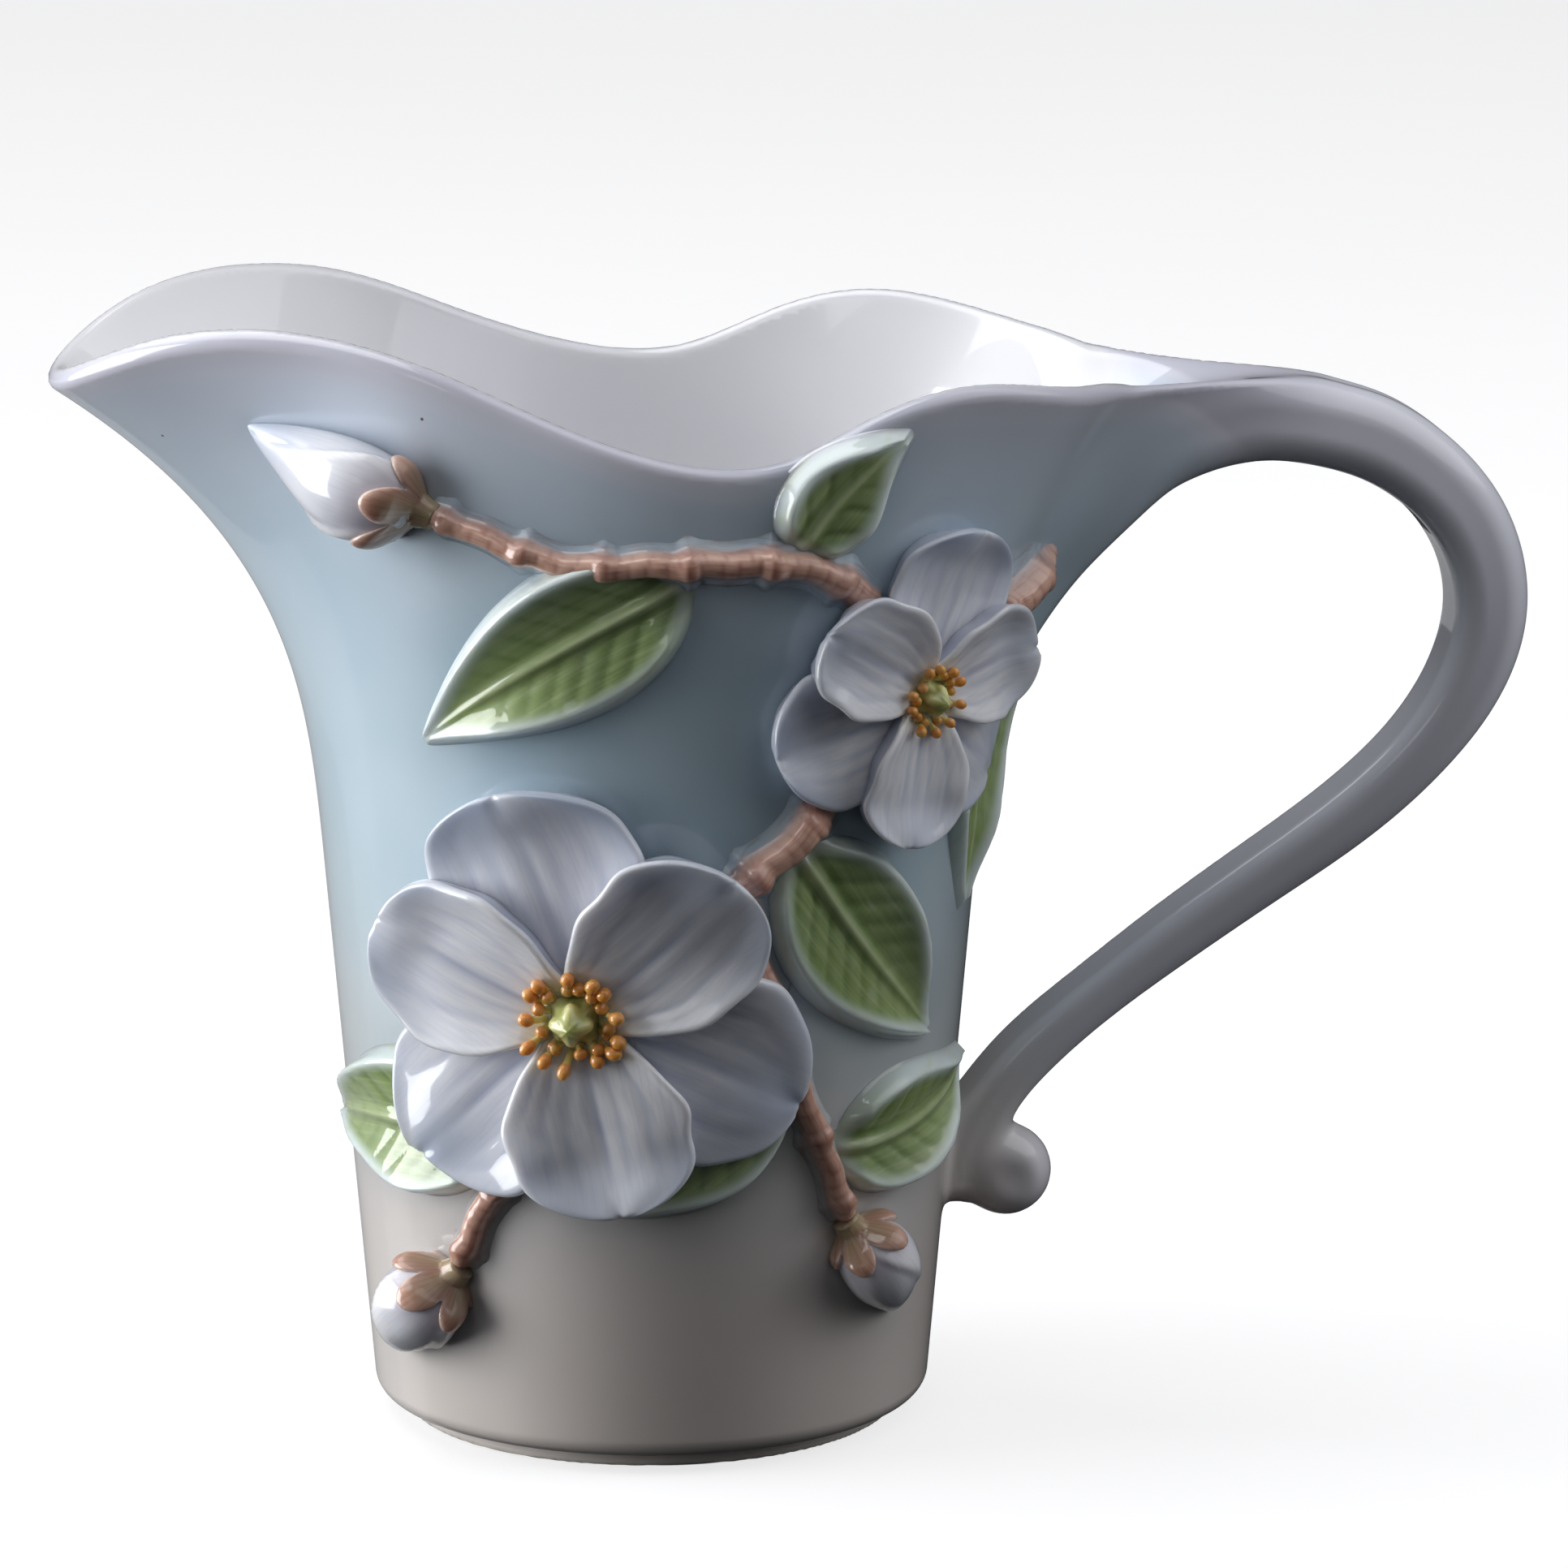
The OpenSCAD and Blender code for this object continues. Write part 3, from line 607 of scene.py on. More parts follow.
def petal_shape(at, heading, L, half, upper, seed, k):
    """Outline and middle surface of one petal, along s and across t."""
    r = np.random.default_rng(100 + seed)
    ph = r.uniform(0, 6.28)
    peak = 0.60

    def width(s):
        f = np.where(s < peak, 0.30 + 0.70 * np.sin(np.pi / 2 * np.clip(s / peak, 0, 1)) ** 1.25,
                     np.maximum(0, 1 - np.clip((s - peak) / (1 - peak), 0, 1) ** 2.5) ** 0.56)
        return half * f * (1 + 0.035 * np.sin(9 * s + seed) + 0.02 * np.sin(21 * s + 2 * seed))

    def middle(S, T):
        belly = np.sin(np.pi * np.clip(S, 0, 1) ** 0.9)
        if upper:
            mid = 2.2 * k + 0.9 * k * sstep(0, 0.25, S) + 0.7 * k * S ** 1.6 + 2.7 * k * belly * T ** 2
            mid = mid + (2.2 + 0.6 * math.sin(seed)) * k * sstep(0.66, 1.0, S) ** 1.4
        else:
            mid = 0.9 * k + 0.6 * k * sstep(0, 0.3, S) + 0.5 * k * S ** 2 + 1.25 * k * belly * T ** 2
            mid = mid + (0.9 + 0.7 * math.sin(1.7 * seed)) * k * sstep(0.7, 1.0, S) ** 1.4
        mid = mid + 0.8 * k * (0.6 * math.sin(seed * 2.3)) * T * S
        mid = mid + 0.62 * k * np.abs(T) ** 2.6 * S * np.sin(2 * np.pi * (1.35 * S) + ph + 1.9 * np.sign(T))
        mid = mid + 0.30 * k * np.cos(5.2 * T + ph) * sstep(0.25, 0.7, S) * (1 - sstep(0.85, 1.0, S))
        return mid - 0.35 * k * np.exp(-(T / 0.16) ** 2) * sstep(0.80, 1.0, S)

    return {"at": at, "heading": math.radians(heading), "bend": math.radians(7 * math.sin(1.3 * seed)), "L": L, "k": k,
            "width": width, "middle": middle, "ph": ph, "upper": upper, "seed": seed}


def under_petals(at, DX, DZ, H):
    """Heights held down where a petal lies over them."""
    r0 = wall_field(np.array([float(at[0])]), np.array([float(at[1])]))[0][0]
    for p in PETALS:
        rp = wall_field(np.array([float(p["at"][0])]), np.array([float(p["at"][1])]))[0][0]
        turn = (at[0] + np.degrees(DX / r0) - p["at"][0] + 180) % 360 - 180
        x, y = np.radians(turn) * rp, at[1] + DZ - p["at"][1]
        a = np.full(x.shape, p["heading"])
        for _ in range(3):
            S = (x * np.cos(a) + y * np.sin(a)) / p["L"]
            a = p["heading"] + p["bend"] * np.clip(S, 0, 1)
        B = -x * np.sin(a) + y * np.cos(a)
        W = np.maximum(p["width"](np.clip(S, 0, 1)), 0.3)
        T = B / W
        inside = sstep(1.10, 0.93, np.abs(T)) * sstep(1.06, 0.97, S) * (S > -0.02)
        cap = p["middle"](np.clip(S, 0, 1), np.clip(T, -1, 1)) - 0.15 * p["k"]
        H = H - inside * np.maximum(H - cap, 0)
    return H


def petal(node, p):
    """A thick pressed petal: free rounded edges, a keel under the middle that sits in the slip."""
    ns, m = int(56 * D), int(40 * D)
    at, L, k, seed, upper, ph = p["at"], p["L"], p["k"], p["seed"], p["upper"], p["ph"]
    x = np.linspace(0, 1, ns + 2)[1:-1]
    s = 0.35 * x + 0.65 * (1 - np.cos(np.pi * x)) / 2
    t = np.sin(np.pi / 2 * np.linspace(-1, 1, m + 1))
    S, T = np.meshgrid(s, t, indexing="ij")
    W = np.repeat(p["width"](s)[:, None], m + 1, 1)
    thick = 1.9 * k
    din = np.minimum((1 - np.abs(T)) * W, (1 - S) * L * 1.4)
    re = 0.85
    e = np.sqrt(np.clip(1 - (1 - np.clip(din / re, 0, 1)) ** 2, 0, 1))
    mid = p["middle"](S, T)
    fan = T * (3.1 + 0.9 * (1 - S)) + 0.16 * np.sin(6 * S + ph) + 0.12 * np.sin(9 * T + seed)
    groove = (0.5 + 0.5 * np.cos(2 * np.pi * fan)) ** 4
    groove *= sstep(0.05, 0.25, S) * (1 - sstep(0.66, 0.95, S)) * (1 - sstep(0.66, 0.93, np.abs(T)))
    fine = (0.5 + 0.5 * np.cos(2 * np.pi * (3.0 * fan + 0.4 * np.sin(11 * S)))) ** 2
    fine *= sstep(0.1, 0.4, S) * (1 - sstep(0.7, 0.95, S)) * (1 - sstep(0.6, 0.9, np.abs(T)))
    spine = np.exp(-(T * W / 0.6) ** 2) * sstep(0.03, 0.15, S) * (1 - sstep(0.55, 0.92, S))
    top = mid + 0.5 * thick * e - 0.10 * k * groove - 0.028 * k * fine - 0.20 * k * spine
    keel = (1 - sstep(0.80, 0.985, np.abs(T))) * (1 - sstep(0.86, 0.985, S))
    floor_h = (0.9 * k if upper else -0.9)
    low = mid - 0.5 * thick * e
    low = low + (np.minimum(floor_h, low) - low) * keel

    def spot(S, T, W, H):
        a = p["heading"] + p["bend"] * S
        return near_wall(at, S * L * np.cos(a) - T * W * np.sin(a), S * L * np.sin(a) + T * W * np.cos(a), H)

    pt = spot(S, T, W, top)
    edge_n = max(2, int(6 * D))
    sel = np.concatenate([np.arange(m - 1, m - 1 - edge_n, -1), np.arange(m - 3 - edge_n, edge_n + 2, -4), np.arange(edge_n, 0, -1)])
    pb = spot(S[:, sel], T[:, sel], W[:, sel], low[:, sel])
    rings = np.concatenate([pt, pb], 1)
    nr = rings.shape[1]
    one, zero = np.array([[1.0]]), np.array([[0.0]])
    pole1 = spot(one, zero, zero, np.array([[mid[-1].mean()]]))[0]
    pole0 = spot(zero, zero, zero, np.array([[0.5 * (top[0].mean() + low[0].mean())]]))[0]
    verts = np.concatenate([rings.reshape(-1, 3), pole0, pole1])
    faces = ring_faces(ns, nr, poles=True)
    white, blue, warm, shade = rgb(238, 238, 242), rgb(168, 182, 206), rgb(236, 232, 196), rgb(196, 200, 216)
    tipb = sstep(0.42, 1.0, S) * (0.62 + 0.2 * np.sin(4 * T + ph)) + 0.25 * sstep(0.6, 1.0, np.abs(T)) * S
    col = mix(white, blue, np.clip(tipb * (0.72 if upper else 0.95), 0, 1))
    col = mix(col, shade, 0.5 * groove + 0.2 * fine + 0.5 * spine)
    col = mix(col, warm, 0.75 * (1 - sstep(0.04, 0.30, S)))
    col = mix(col, rgb(246, 246, 248), 0.6 * (1 - e) * 0.8)
    under = np.broadcast_to(shade, pb.shape)
    tint = np.concatenate([np.concatenate([col, under], 1).reshape(-1, 3), [warm, blue]])
    su = np.concatenate([np.concatenate([S * L, S[:, sel] * L], 1).ravel(), [0, L]])
    sv = np.concatenate([np.concatenate([T * W, T[:, sel] * W[:, sel]], 1).ravel() + 9.0 * seed, [0, 0]])
    return add_sprig(node + "_sprig", node, verts, faces, tint, su, sv)


def wall_frame(at):
    o = near_wall(at, 0.0, 0.0, 0.0)
    n = wall_nrm(np.array(float(at[0])), np.array(float(at[1])))
    a = math.radians(at[0])
    e1 = np.array([-math.sin(a), math.cos(a), 0.0])
    e1 -= n * e1.dot(n)
    e1 /= np.linalg.norm(e1)
    return o, e1, np.cross(n, e1), n


def seed_cone(node, at, k, seed):
    o, e1, e2, n = wall_frame(at)
    ns, nr = int(46 * D), int(60 * D)
    s = np.linspace(0, 1, ns)
    th = np.linspace(0, 2 * np.pi, nr, endpoint=False)
    S, TH = np.meshgrid(s, th, indexing="ij")
    base = 2.35 * k * np.sqrt(np.clip(1 - S ** 2.2, 0, 1)) * (1 - 0.16 * S)
    a = np.cos(4 * TH + 8.5 * S + seed) * 0.5 + 0.5
    b = np.cos(4 * TH - 8.5 * S + seed) * 0.5 + 0.5
    bump = (a * b) ** 0.8
    rr = np.maximum(base + 0.55 * k * bump * np.sin(np.pi * np.clip(S * 0.94 + 0.03, 0, 1)) - 0.12 * k, 0.02)
    hh = 1.2 * k + 5.0 * k * S
    P = o + rr[..., None] * (np.cos(TH)[..., None] * e1 + np.sin(TH)[..., None] * e2) + hh[..., None] * n
    verts = np.concatenate([P.reshape(-1, 3), [o + 1.2 * k * n], [o + 6.25 * k * n]])
    tint = mix(rgb(170, 178, 108), rgb(226, 222, 150), np.clip(bump * 0.9 + 0.15 * S, 0, 1)).reshape(-1, 3)
    tint = np.concatenate([tint, tint[:1], tint[-1:]])
    su = np.concatenate([(S * 5).ravel(), [0, 5]])
    sv = np.concatenate([(TH * 2).ravel(), [0, 0]])
    return add_sprig(node + "_sprig", node, verts, ring_faces(ns, nr, poles=True), tint, su, sv)


def stamens(node, at, k, count, seed):
    o, e1, e2, n = wall_frame(at)
    r = np.random.default_rng(40 + seed)
    nr = 12
    V, F, C, SU, SV = [], [], [], [], []
    for i in range(count):
        ring = i % 2
        th = 2 * np.pi * (i + 0.35 * r.uniform(-1, 1)) / count
        ln = k * (4.6 if ring else 3.5) * r.uniform(0.9, 1.1)
        rho = k * (2.3 if ring else 1.9)
        out = k * (2.5 if ring else 1.5) * r.uniform(0.85, 1.15)
        swing = r.uniform(-0.3, 0.3)
        prof = [(0.0, 0.42), (0.2, 0.36), (0.42, 0.33), (0.58, 0.35), (0.64, 0.52), (0.72, 0.66), (0.82, 0.68), (0.91, 0.55), (0.97, 0.32)]
        ns = len(prof)
        path = []
        for p, _ in prof + [(1.0, 0)]:
            a = th + swing * p
            d = math.cos(a) * e1 + math.sin(a) * e2
            path.append(o + d * (rho + out * p ** 1.25) + n * (k * 1.7 + ln * (1.05 * p - 0.42 * p * p)))
        path = np.array(path)
        base = len(V)
        for j, (p, q) in enumerate(prof):
            tg = path[min(j + 1, ns)] - path[max(j - 1, 0)]
            tg /= np.linalg.norm(tg)
            x = np.cross(tg, n)
            x /= np.linalg.norm(x)
            y = np.cross(tg, x)
            for w in range(nr):
                a = 2 * math.pi * w / nr
                rr = q * k * (1 - (0.16 * abs(math.cos(a)) ** 6 if p > 0.6 else 0))
                V.append(path[j] + rr * (math.cos(a) * x + math.sin(a) * y))
                g = float(sstep(0.56, 0.66, np.array(p)))
                C.append(mix(rgb(238, 222, 140), rgb(222, 142, 62), np.array(g)) * (0.92 + 0.16 * r.uniform()))
                SU.append(p * ln)
                SV.append(i * 3.0)
        V += [path[0], path[-1]]
        C += [C[base], C[-1]]
        SU += [0, ln]
        SV += [i * 3.0] * 2
        F += [[base + v for v in f] for f in ring_faces(ns, nr, poles=True)]
    return add_sprig(node + "_sprig", node, np.array(V), F, np.array(C), SU, SV)


BUDS = {"lip": [226, 105, 158, 19, 5.2], "left": [222, 21, -136, 15, 4.8], "right": [302, 26, -52, 14, 4.2], "back": [105, 42, -38, 16, 4.6]}


def bud_radius(s, hw):
    s = np.clip(s, 0, 1)
    return hw * (np.sin(np.pi * (0.06 + 0.94 * s ** 0.72)) ** 0.72 * (1 - 0.14 * s) / 0.93)


def bud_point(at, heading, L, S, B, Hh):
    a = math.radians(heading)
    return near_wall(at, S * L * math.cos(a) - B * math.sin(a), S * L * math.sin(a) + B * math.cos(a), Hh)


def bud(node, at, heading, L, hw, seed):
    ns, nr = int(64 * D), int(72 * D)
    x = np.linspace(0.015, 0.985, ns)
    s = 0.4 * x + 0.6 * (1 - np.cos(np.pi * x)) / 2
    th = np.linspace(0, 2 * np.pi, nr, endpoint=False)
    S, TH = np.meshgrid(s, th, indexing="ij")
    v = (TH * 3 / (2 * np.pi) + 0.75 * S + 0.31 * seed) % 1.0
    lap = np.where(v < 0.9, (v / 0.9) ** 2.2, 1 - sstep(0.9, 1.0, v))
    v2 = (TH * 3 / (2 * np.pi) - 0.35 * S + 0.5 + 0.31 * seed) % 1.0
    fold = 0.5 + 0.5 * np.cos(2 * np.pi * v2 * 3)
    rr = bud_radius(S, hw) * (0.93 + 0.12 * lap * np.sin(np.pi * S) ** 0.5) - 0.07 * fold * np.sin(np.pi * S)
    rr = np.maximum(rr, 0.03)
    hc = 0.52 * bud_radius(S, hw) + 0.3
    P = bud_point(at, heading, L, S, rr * np.cos(TH), hc + rr * np.sin(TH) * 0.92)
    p0 = bud_point(at, heading, L, np.array(0.0), np.array(0.0), hc[0].mean())
    p1 = bud_point(at, heading, L, np.array(1.0), np.array(0.0), hc[-1].mean())
    verts = np.concatenate([P.reshape(-1, 3), [p0, p1]])
    white, blue, rose = rgb(238, 238, 242), rgb(170, 184, 208), rgb(206, 190, 204)
    col = mix(white, blue, np.clip(0.75 * sstep(0.5, 1.0, S) + 0.35 * (1 - lap) * (1 - S), 0, 1))
    col = mix(col, rose, 0.55 * (1 - sstep(0.05, 0.45, S)))
    col = mix(col, rgb(248, 248, 250), 0.55 * lap ** 4)
    tint = np.concatenate([col.reshape(-1, 3), [rose, blue]])
    su = np.concatenate([(S * L).ravel(), [0, L]])
    sv = np.concatenate([(TH * hw).ravel(), [0, 0]])
    return add_sprig(node + "_sprig", node, verts, ring_faces(ns, nr, poles=True), tint, su, sv)


def calyx(node, at, heading, L, hw, seed):
    """Cup of pointed scales round the foot of a bud."""
    nv, nr = int(26 * D), int(84 * D)
    th = np.linspace(0, 2 * np.pi, nr, endpoint=False)
    lobe = np.abs(np.cos(2.5 * th + 0.4 + seed)) ** 1.1
    reach = 0.05 + 0.15 * lobe
    v = np.linspace(0, 1, nv)
    V, TH = np.meshgrid(v, th, indexing="ij")
    R = np.repeat(reach[None, :], nv, 0)
    LB = np.repeat(lobe[None, :], nv, 0)
    S = -0.10 + (R + 0.10) * V
    stalk = 1.5
    rb = bud_radius(np.maximum(S, 0), hw)
    neck = sstep(-0.10, 0.10, S)
    thick = 0.60 * np.sqrt(np.clip(1 - V ** 5, 0, 1)) + 0.02
    rib = np.exp(-((1 - LB) / 0.25) ** 2) * 0.22 * np.sin(np.pi * V)
    ro = (stalk * (1 - neck) + (rb * 1.03) * neck) + (thick + rib) * neck
    hc = 0.52 * rb * neck + 0.3 + 0.6 * (1 - neck)
    outer = bud_point(at, heading, L, S, ro * np.cos(TH), hc + ro * np.sin(TH) * 0.94)
    ri = np.maximum(ro[-1] - 1.4, 0.4)[None, :] * np.array([[1.0], [0.5]])
    Si = np.repeat(S[-1:] - 0.02, 2, 0)
    hi = np.repeat(hc[-1:], 2, 0)
    inner = bud_point(at, heading, L, Si, ri * np.cos(th)[None, :], hi + ri * np.sin(th)[None, :] * 0.94)
    rings = np.concatenate([outer, inner], 0)
    p0 = bud_point(at, heading, L, np.array(-0.11), np.array(0.0), hc[0].mean())
    p1 = bud_point(at, heading, L, np.array(0.2), np.array(0.0), hc[-1].mean())
    verts = np.concatenate([rings.reshape(-1, 3), [p0, p1]])
    coral, dark, green = rgb(200, 154, 134), rgb(156, 106, 92), rgb(160, 166, 118)
    col = mix(green, coral, np.clip(0.25 + V * 0.9, 0, 1))
    col = mix(col, dark, 0.45 * (1 - LB) * V + 0.25 * (1 - sstep(0, 0.2, V)))
    col = mix(col, rgb(226, 204, 192), 0.7 * V ** 8)
    tint = np.concatenate([col.reshape(-1, 3), np.repeat(col[-1:], 2, 0).reshape(-1, 3), [dark, dark]])
    su = np.concatenate([(S * L).ravel(), np.zeros(2 * nr), [0, 0]])
    sv = np.concatenate([(TH * hw).ravel(), np.zeros(2 * nr), [0, 0]])
    return add_sprig(node + "_sprig", node, verts, ring_faces(nv + 2, nr, poles=True), tint, su, sv)


sprigs = {"leaf": [], "twig": [], "petal": [], "cone": [], "stamen": []}
for b, (name, (a, z, L, turn)) in enumerate(BLOSSOMS.items()):
    k = 0.72 + 0.28 * (L - 18.5) / 6.5
    for j in range(6):
        up = j >= 3
        size = L * (0.86 if up else 1.0)
        p = petal_shape((a, z), turn + 120 * (j % 3) + (60 if up else 0), size, 0.42 * size, up, 7 * b + j + 1, k)
        PETALS.append(p)
        sprigs["petal"].append(petal("%s_petal_%d" % (name, j + 1), p))
    sprigs["cone"].append(seed_cone(name + "_cone", (a, z), 1.25 * k, b))
    sprigs["stamen"].append(stamens(name + "_stamens", (a, z), 1.25 * k, 26 if b == 0 else 20, b))
for i, (name, row) in enumerate(zip(LEAF_NAMES, LEAVES)):
    sprigs["leaf"].append(leaf(name, *row, i + 1))
for i, (name, row) in enumerate(TWIGS.items()):
    sprigs["twig"].append(twig(name, row, i + 1))
for b, (name, (a, z, hd, L, hw)) in enumerate(BUDS.items()):
    sprigs["petal"].append(bud(name + "_bud", (a, z), hd, L, hw, b + 1))
    sprigs["twig"].append(calyx(name + "_bud_calyx", (a, z), hd, L, hw, b + 1))


# ---------------------------------------------------------------------------
# Shell and handle: one continuous glazed surface, parted where the handle was luted on
# ---------------------------------------------------------------------------
def part_handle(V, Q):
    """Cut the surface across both ends of the handle and close both halves."""
    bm = bmesh.new()
    vs = [bm.verts.new(v) for v in V]
    for q in Q:
        bm.faces.new([vs[i] for i in q])
    cuts = set()
    for x, keep in ((65.0, lambda c: c.z > 90), (34.6, lambda c: c.z < 44 and abs(c.y) < 15 and c.x > 25)):
        faces = [f for f in bm.faces if abs(f.calc_center_median().x - x) < 4 and keep(f.calc_center_median())]
        geom = list({e for f in faces for e in f.edges}) + list({v for f in faces for v in f.verts}) + faces
        res = bmesh.ops.bisect_plane(bm, geom=geom, plane_co=(x, 0, 0), plane_no=(1, 0, 0), dist=1e-5)
        cuts |= {e for e in res["geom_cut"] if isinstance(e, bmesh.types.BMEdge)}
    bm.verts.ensure_lookup_table()
    bm.faces.ensure_lookup_table()
    bm.verts.index_update()
    bm.faces.index_update()
    side = np.full(len(bm.faces), -1)
    start = max(bm.faces, key=lambda f: f.calc_center_median().x)
    stack = [start]
    side[start.index] = 1
    while stack:
        f = stack.pop()
        for e in f.edges:
            if e in cuts:
                continue
            for g in e.link_faces:
                if side[g.index] < 0:
                    side[g.index] = 1
                    stack.append(g)
    side[side < 0] = 0
    co = np.array([v.co[:] for v in bm.verts])
    out = []
    for which in (0, 1):
        faces = [[v.index for v in f.verts] for f in bm.faces if side[f.index] == which]
        nxt = {}
        seen = set()
        for f in faces:
            for a, b in zip(f, f[1:] + f[:1]):
                seen.add((a, b))
        for a, b in seen:
            if (b, a) not in seen:
                nxt[b] = a
        loops = []
        while nxt:
            a0, b = nxt.popitem()
            loop = [a0]
            while b != a0:
                loop.append(b)
                b = nxt.pop(b)
            loops.append(loop)
        used = sorted({i for f in faces for i in f})
        new = {o: i for i, o in enumerate(used)}
        verts = co[used]
        faces = [[new[i] for i in f] for f in faces]
        for loop in loops:
            mid = len(verts)
            verts = np.concatenate([verts, co[loop].mean(0)[None]])
            faces += [[new[a], new[b], mid] for a, b in zip(loop, loop[1:] + loop[:1])]
        out.append((verts, faces, len(loops)))
    bm.free()
    return out


def glaze_fields(P):
    """Where the sprayed colours go: distance under the lip, inside of the mouth, run of the handle, bare foot."""
    x, y, z = P[:, 0], P[:, 1], P[:, 2]
    r = np.hypot(x, y)
    deg = np.degrees(np.arctan2(y, x))
    out, up, rnd, R, Z, A, Z1 = wall_field(deg, z)
    fo = (r - out) / np.sqrt(1 + up ** 2)
    m = LEAN + A * FLARE_P / (Z - FLARE_Z)
    s = ((r - R) * m + (z - Z)) / np.sqrt(1 + m * m)
    inner = sstep(-0.9, -2.0, fo) * sstep(4.0, 6.5, z)
    off = np.maximum(fo, 0)
    hand = sstep(1.0, 17.0, off) * (x > 0)
    bare = (1 - sstep(0.12, 0.45, z)) * sstep(22.0, 23.6, r)
    return {"rimd": -s, "inner": inner, "hand": hand, "bare": bare}


# painted shade: the wall grows darker and bluer close to the sprigs, partly a sprayed deeper blue and partly painted
# shade where they meet the wall
def shade_halo_of(P):
    tree_pts = np.concatenate(RELIEF_PTS)
    tree_pts = tree_pts[:: 3]
    tree = kdtree.KDTree(len(tree_pts))
    for i, p in enumerate(tree_pts):
        tree.insert(p, i)
    tree.balance()
    d = np.array([tree.find(p)[2] for p in P])
    return np.exp(-np.maximum(d - 0.3, 0) / 3.2)


V, Q = surface(0.62)
shell_part, handle_part = part_handle(V, Q)
print("surface", len(V), "loops", shell_part[2], handle_part[2])
glazed = []
for (verts, faces, _), name, node, slot in ((shell_part, "jug_shell", "jug_body", "body_glaze"), (handle_part, "loop_handle", "handle", "handle_glaze")):
    nrm = normals_of(verts)
    nrm /= np.maximum(np.linalg.norm(nrm, axis=1, keepdims=True), 1e-6)
    fields = glaze_fields(verts)
    fields["shade_halo"] = shade_halo_of(verts) if node == "jug_body" else np.zeros(len(verts))
    ob = make_object(name, verts, faces, normals=nrm, extra=fields)
    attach(ob, "root")
    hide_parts(node)
    glazed.append(ob)
glazed[1].visible_glossy = False  # keeps a hard mirror image of the loop off the wall beside its root


# ---------------------------------------------------------------------------
# Glazes
# ---------------------------------------------------------------------------
class Nodes:
    def __init__(self, name):
        self.mat = bpy.data.materials.new(name)
        self.mat.use_nodes = True
        self.nt = self.mat.node_tree
        self.nt.nodes.clear()

    def add(self, kind, sets=None, **links):
        n = self.nt.nodes.new(kind)
        for k, v in (sets or {}).items():
            setattr(n, k, v)
        for k, v in links.items():
            key = int(k[1:]) if k[0] == "i" and k[1:].isdigit() else k.replace("_", " ")
            sock = n.inputs[key]
            if isinstance(v, bpy.types.NodeSocket):
                self.nt.links.new(v, sock)
            else:
                sock.default_value = v
        return n

    def attr(self, name, out="Fac"):
        return self.add("ShaderNodeAttribute", {"attribute_name": name}).outputs[out]

    def math(self, op, a, b=0.5, clamp=False):
        return self.add("ShaderNodeMath", {"operation": op, "use_clamp": clamp}, i0=a, i1=b).outputs[0]

    def span(self, v, a, b, lo=0.0, hi=1.0, kind="SMOOTHSTEP"):
        return self.add("ShaderNodeMapRange", {"interpolation_type": kind}, Value=v, From_Min=a, From_Max=b, To_Min=lo, To_Max=hi).outputs[0]

    def mix(self, f, a, b, blend="MIX"):
        n = self.add("ShaderNodeMix", {"data_type": "RGBA", "blend_type": blend})
        for i, v in ((0, f), (6, a), (7, b)):
            if isinstance(v, bpy.types.NodeSocket):
                self.nt.links.new(v, n.inputs[i])
            else:
                n.inputs[i].default_value = v if i == 0 else (*v, 1.0)
        return n.outputs[2]

    def noise(self, vec, scale, detail=3.0, rough=0.5, out=0):
        return self.add("ShaderNodeTexNoise", {"noise_dimensions": "3D"}, Vector=vec, Scale=scale, Detail=detail, Roughness=rough).outputs[out]

    def coords(self):
        return self.add("ShaderNodeTexCoord").outputs["Object"]


def finish_glaze(t, colour, rough=None, bump=None, bump_d=0.0004, bump_s=0.25, sss=0.45, coat=1.0, coat_rough=0.035, base_rough=0.30):
    p = t.add("ShaderNodeBsdfPrincipled")
    t.nt.links.new(colour, p.inputs["Base Color"])
    if rough is not None:
        t.nt.links.new(rough, p.inputs["Roughness"])
    else:
        p.inputs["Roughness"].default_value = base_rough
    p.inputs["IOR"].default_value = 1.5
    p.inputs["Specular IOR Level"].default_value = 0.4
    p.inputs["Subsurface Weight"].default_value = sss
    p.inputs["Subsurface Radius"].default_value = (1.0, 0.95, 0.9)
    p.inputs["Subsurface Scale"].default_value = 0.003
    p.inputs["Coat Weight"].default_value = coat
    p.inputs["Coat Roughness"].default_value = coat_rough
    p.inputs["Coat IOR"].default_value = 1.52
    if bump is not None:
        b = t.add("ShaderNodeBump", None, Strength=bump_s, Distance=bump_d, Height=bump)
        t.nt.links.new(b.outputs[0], p.inputs["Normal"])
        c = t.add("ShaderNodeBump", None, Strength=bump_s * 0.4, Distance=bump_d, Height=bump)
        t.nt.links.new(c.outputs[0], p.inputs["Coat Normal"])
    o = t.add("ShaderNodeOutputMaterial")
    t.nt.links.new(p.outputs[0], o.inputs[0])
    return t.mat


